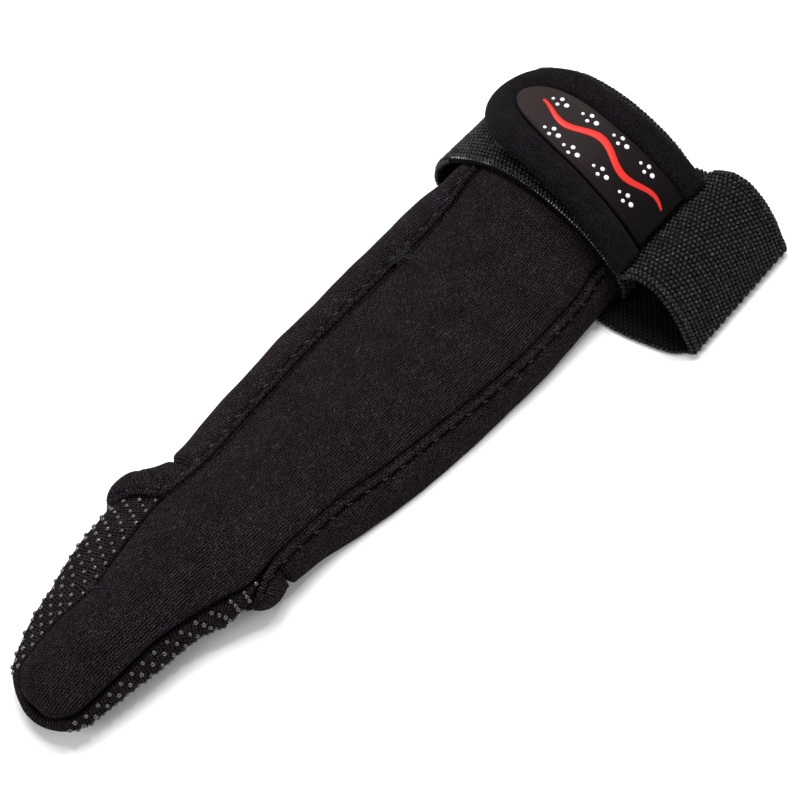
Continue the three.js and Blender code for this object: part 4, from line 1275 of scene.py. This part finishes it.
for column, outward, edge_from in ((0, -1.0, over_end), (strap_columns, 1.0, 0.6)):
    edge_at = np.arange(edge_from, strap_run[-1, 0] - 0.6, BRICK)
    edge_rows = np.interp(edge_at, strap_run[:, 0], np.arange(strap_steps + 1))
    edge_columns = np.full(len(edge_rows), float(column))
    edge_ups = np.tile([outward, 0.0, 0.0], (len(edge_rows), 1))
    edge_alongs = on_strap(edge_rows, edge_columns)[2]
    edge_points = on_grid(strap_core, edge_rows, edge_columns) + edge_ups * 0.36
    brick_points = np.concatenate([brick_points, edge_points])
    brick_ups = np.concatenate([brick_ups, edge_ups])
    brick_alongs = np.concatenate([brick_alongs, edge_alongs])
    brick_sizes = np.concatenate([brick_sizes, np.tile([BRICK * 0.98, 1.24, 0.36], (len(edge_rows), 1))])
brick_piece = grown("strap_weave", brick_points, brick_ups, brick_alongs, brick_sizes * 0.001,
                    brick_dome("brick_shape"), strap_yarn, seed=3, turn_by=0.12, size_by=0.08)
placed(brick_piece, "elastic_webbing")

# Selvedge of the strap
# The strap's near edge is overcast: a bright line of short stitches shows along
# it where the strap lies over the guard.
OVERCAST_STEP = 0.74


def overcast_look():
    look = Look("overcast_thread")
    twist = look.noise(0.2, detail=2.0)
    worn = ((look.noise(3.5, detail=2.0) - 0.4) * 3.0).held()
    colour = look.blend(twist * worn, (0.02, 0.02, 0.022, 1), (0.62, 0.6, 0.62, 1))
    return look.finish({"Specular IOR Level": 0.4}, Base_Color=colour, Roughness=twist * 0.2 + 0.35)


overcast_to = over_end * 0.97
cast_at = np.arange(5.0, overcast_to, OVERCAST_STEP)
cast_rows = np.interp(cast_at, strap_run[:, 0], np.arange(strap_steps + 1))
cast_columns = np.full(len(cast_rows), 0.42 / STRAP_WIDTH * strap_columns)
cast_ups = unit(on_grid(strap_out, cast_rows, cast_columns) - np.array([1.0, 0, 0]))
cast_points = on_grid(strap_front, cast_rows, cast_columns * 0) + cast_ups * 0.16
cast_alongs = on_strap(cast_rows, cast_columns)[2]
cast_piece = grown("selvedge_stitches", cast_points, cast_ups, cast_alongs,
                   np.array([0.44, 0.44, 0.3]) * 0.001, round_dome("cast_shape", 0.3),
                   overcast_look(), seed=7, turn_by=0.3, size_by=0.25)
placed(cast_piece, "elastic_webbing")
cut_area(strap_front)

# Frayed end of the strap
# The strap's end is folded under the tab and sewn; its cut rubber and yarn ends
# stand out rough at the near corner.
FRAY_AT = ((146.1, -26.6), (146.4, -24.6), (145.2, -28.2))
fray_roots, fray_ups = [], []
upper = strap_front[int(strap_steps * 0.86):]
for fray_x, fray_y in FRAY_AT:
    r, c = nearest(upper, fray_x, fray_y)
    fray_roots.append(upper[r, c] - strap_out[int(strap_steps * 0.86) + r, c] * 0.9)
    fray_ups.append(unit(np.array([-0.8, -0.3, 0.25])))
frayed_elastic = grained("frayed_elastic", 0.4, (0.004, 0.004, 0.005), (0.1, 0.097, 0.1), 0.3, 0.4)
fray_piece = strands("frayed_end", fray_roots, fray_ups, [1.5, 1.4, 1.6], 16, 33, frayed_elastic, 0.2)
placed(fray_piece, "elastic_webbing")

# Padded tab
# A tongue of loop-pile fabric over foam, moulded so that a fat rim stands round a
# sunken field. It closes the strap: its underside carries the hook tape.
TAB_LENGTH = 56.3
TAB_WIDTH = 32.6
TAB_THICK = 2.8
TAB_ROUND = 21.5
TAB_LEAN = 4.9
TAB_ROOT = 12.8
BADGE_LENGTH = 47.3
BADGE_WIDTH = 16.9
BADGE_FLOOR = 1.2
BADGE_GAP = 0.35
BADGE_ROUND = 23
BADGE_LEAN = 4.4
BADGE_START = 0.8
BADGE_THICK = 1.0
tab_middle = STRAP_START - 1.4 + TAB_WIDTH / 2
tab_steps = 60


def tab_spine(along):
    """Middle line of the tab and the badge, which lean towards their round end."""
    return tab_middle + 1.32 * along / TAB_LENGTH


def tongue(length, width, round_, lean, start):
    """Outline of a tongue: straight sides, then a round end that leans."""
    step = np.arange(2 * tab_steps + 1)
    side = np.where(step <= tab_steps, -1, 1)
    share = np.where(step <= tab_steps, step, 2 * tab_steps - step) / tab_steps
    straight = length - round_
    turn = np.clip((share - 0.5) / 0.5, 0, 1) * math.pi / 2
    along = np.where(share > 0.5, straight + round_ * np.sin(turn), straight * share / 0.5)
    half = (width / 2) * (1 - 0.15 * np.minimum(share / 0.5, 1)) * np.cos(turn)
    sway = lean * (along / length) ** 2.4
    return start + along, tab_middle + sway + side * half


shares = np.arange(OUTLINE_STEPS + 1) / OUTLINE_STEPS
tab_run = lengths(over_arch(shares, TAB_UNDER + TAB_THICK, 0.0))


def on_tab(along, x, height):
    """Points of the tab by their way along it, their place across and their height."""
    share = np.interp(TAB_ROOT + along, tab_run, shares)
    return over_arch(share, TAB_UNDER + height, x)


RIM = table(
    "inward height",
    (0, 0.5),
    (0.06, 0.76),
    (0.14, 0.9),
    (0.28, 1.02),
    (0.45, 1.06),
    (0.62, 1.03),
    (0.8, 0.93),
    (0.92, 0.78),
    (1, 0.62),
)
rim_along, rim_x = tongue(TAB_LENGTH, TAB_WIDTH, TAB_ROUND, TAB_LEAN, 0)
hole_along, hole_x = tongue(BADGE_START + BADGE_LENGTH + BADGE_GAP, BADGE_WIDTH + 2 * BADGE_GAP,
                            BADGE_ROUND, BADGE_LEAN, 0)
spine_along = hole_along * 0.8
spine_x = tab_spine(hole_along)
rings, under = [], []
for inward in np.linspace(0, 1, 22):
    along = rim_along + (hole_along - rim_along) * inward
    x = rim_x + (hole_x - rim_x) * inward
    height = float(follow(RIM, "inward", "height", inward)) * TAB_THICK
    wave = 0.1 * soft_wave(np.stack([x, along, 0 * x], -1), 6, 0.3)
    rings.append(on_tab(along, x, height + wave * math.sin(math.pi * inward)))
    under.append(on_tab(along, x, 0.42 * math.exp(-inward * 14)))
for inward in (0.03, 0.2, 0.45, 0.7, 1):
    along = hole_along + (spine_along - hole_along) * inward
    x = hole_x + (spine_x - hole_x) * inward
    rings.append(on_tab(along, x, BADGE_FLOOR))
    under.append(on_tab(along, x, 0))
tab_top = np.stack(rings, 1)
tab_bottom = np.stack(under, 1)


def pile_look():
    """Brushed loop pile: soft tufts that lie in patches and catch light at a slant."""
    look = Look("padded_velour")
    tuft = look.noise(0.45, detail=3.0, rough=0.75)
    patch = look.noise(5, detail=4.0, rough=0.6)
    fleck = ((look.noise(0.3, detail=1.0) - 0.64) * 6.0).held()
    crest = ((tuft - 0.5) * 2.6 + (patch - 0.5) * 0.7 + 0.38).held()
    colour = look.blend(crest, (0.001, 0.0008, 0.001, 1), (0.0122, 0.0095, 0.0118, 1))
    colour = look.blend(fleck * 0.5, colour, (0.05, 0.042, 0.048, 1))
    return look.finish(
        {"Sheen Weight": 0.012, "Sheen Roughness": 0.5, "Specular IOR Level": 0.03},
        Base_Color=colour, Roughness=tuft * 0.1 + 0.85, Normal=look.bump(tuft * 0.2 + patch * 0.5))


padded_velour = pile_look()
tab_piece = zipped("padded_tab", tab_top, tab_bottom, padded_velour)
placed(tab_piece, "padded_velour", "strap_tab")

# Badge
# A soft moulded plate welded into the tab's sunken field, dark and slightly
# glossy, with a thin raised rim.
BADGE_RIM = table(
    "inward height",
    (0, 0.55),
    (0.03, 0.86),
    (0.06, 1),
    (0.1, 1),
    (0.13, 0.86),
    (0.16, 0.78),
    (1, 0.78),
)
plate_along, plate_x = tongue(BADGE_LENGTH, BADGE_WIDTH, BADGE_ROUND, BADGE_LEAN, BADGE_START)
plate_spine_along = BADGE_START + (plate_along - BADGE_START) * 0.8
plate_spine_x = tab_spine(plate_along)
rings, under = [], []
for inward in (0, 0.02, 0.04, 0.06, 0.08, 0.1, 0.12, 0.14, 0.17, 0.25, 0.4, 0.55, 0.7, 0.85, 1):
    along = plate_along + (plate_spine_along - plate_along) * inward
    x = plate_x + (plate_spine_x - plate_x) * inward
    height = float(follow(BADGE_RIM, "inward", "height", inward)) * BADGE_THICK
    rings.append(on_tab(along, x, BADGE_FLOOR + BADGE_GAP + height))
    under.append(on_tab(along, x, BADGE_FLOOR + BADGE_GAP))


def plate_look():
    """Soft moulded plastic with satin gloss, and painted light: brown where light falls, nearly black
    beyond.
    """
    look = Look("soft_badge")
    grain = look.noise(0.22, detail=2.0)
    flow = look.noise(9, detail=3.0)
    ahead = look.node("SeparateXYZ", inputs={0: look.place()}, out=1) * 1000.0
    # Painted light: the colour runs from brown towards the guard's left side to nearly black.
    fade = ((ahead + 13.0) * 0.027 + (flow - 0.5) * 0.3).held()
    colour = look.blend(fade, (0.0036, 0.0024, 0.0026, 1), (0.025, 0.0172, 0.0175, 1))
    return look.finish(
        {"Specular IOR Level": 0.05},
        Base_Color=colour, Roughness=grain * 0.12 + flow * 0.1 + 0.34, Normal=look.bump(grain * 0.02))


soft_badge = plate_look()
badge_piece = zipped("badge_plate", np.stack(rings, 1), np.stack(under, 1), soft_badge)
placed(badge_piece, "soft_badge", "tab_badge")

# Badge motif
# A plain ornament in thin raised plastic: one red wavy ribbon along the badge
# and clusters of white dots beside it.
MOTIF_HEIGHT = BADGE_FLOOR + BADGE_GAP + 0.78 * BADGE_THICK


ribbon_share = np.linspace(0, 1, 120)
ribbon_along = 3.0 + 37.5 * ribbon_share
ribbon_x = tab_spine(ribbon_along) + 0.6 + 1.5 * np.sin(ribbon_share * 4.2 * math.pi + 0.6)
ribbon_x = ribbon_x + 1.0 * ribbon_share
ribbon_half = 0.25 + 0.72 * np.sin(math.pi * ribbon_share) ** 0.6
ribbon_loops = []
for side, rise in ((-1, -0.1), (-1, 0.1), (-0.8, 0.17), (0, 0.19), (0.8, 0.17), (1, 0.1), (1, -0.1)):
    ribbon_loops.append(on_tab(ribbon_along, ribbon_x + side * ribbon_half, MOTIF_HEIGHT + rise))
ribbon_loops = np.stack(ribbon_loops, 1)
ribbon_across = np.broadcast_to(np.linspace(0, 2, 7), ribbon_loops.shape[:2])
red_print = grained("red_print", 0.4, (0.56, 0.014, 0.009), (0.68, 0.026, 0.018), 0.25, 0.4, 0.15)
ribbon_piece = sleeve("badge_ribbon", ribbon_loops, ribbon_along[:, None], ribbon_across, red_print)
placed(ribbon_piece, "soft_badge")
dot_at = []
for start, sideways in ((9.0, -4.0), (17.0, -3.9), (25.0, -4.6), (31.2, -3.5),
                        (10.0, 5.0), (18.5, 5.4), (27.0, 4.9), (35.0, 4.4)):
    for k, (step, over) in enumerate(((0, 0), (1.9, 0.9), (1.9, -0.9), (3.8, 0))):
        dot_at.append((start + step, sideways + over, 1.25 - 0.14 * k))
dot_at = np.array(dot_at)
motif_x = tab_spine(dot_at[:, 0]) + dot_at[:, 1]
motif_points = on_tab(dot_at[:, 0], motif_x, MOTIF_HEIGHT)
motif_ahead = on_tab(dot_at[:, 0] + 0.1, motif_x, MOTIF_HEIGHT)
motif_alongs = unit(motif_ahead - motif_points)
motif_ups = np.cross(np.tile([1.0, 0, 0], (len(dot_at), 1)), motif_alongs)
motif_ups = motif_ups * np.sign(motif_ups[:, 2:])
motif_sizes = np.stack([dot_at[:, 2], dot_at[:, 2], np.full(len(dot_at), 0.22)], 1) * 0.001
motif_piece = grown("badge_dots", motif_points, motif_ups, motif_alongs, motif_sizes,
                    round_dome("motif_shape", 0.4),
                    grained("white_print", 0.4, (0.72,) * 3, (0.86,) * 3, 0.25, 0.4, 0.15), seed=2)
placed(motif_piece, "soft_badge")

# Hook tape
# A strip of stiff hook fastener sewn under the tab, which grips the strap's pile.


hook_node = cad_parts["hook_tape"]
hook_node = hook_node if hasattr(hook_node, "data") else bpy.data.objects[hook_node]
hook_node.data.materials.clear()
hook_node.data.materials.append(grained("hook_tape", 0.4, (0.004,) * 3, (0.03,) * 3, 0.4, 0.5, rise=0.2))

boxes = {"cad": cad_bounds, "visual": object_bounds()}
for name, box in boxes.items():
    boxes[name] = [[float(v) for v in corner] for corner in box]
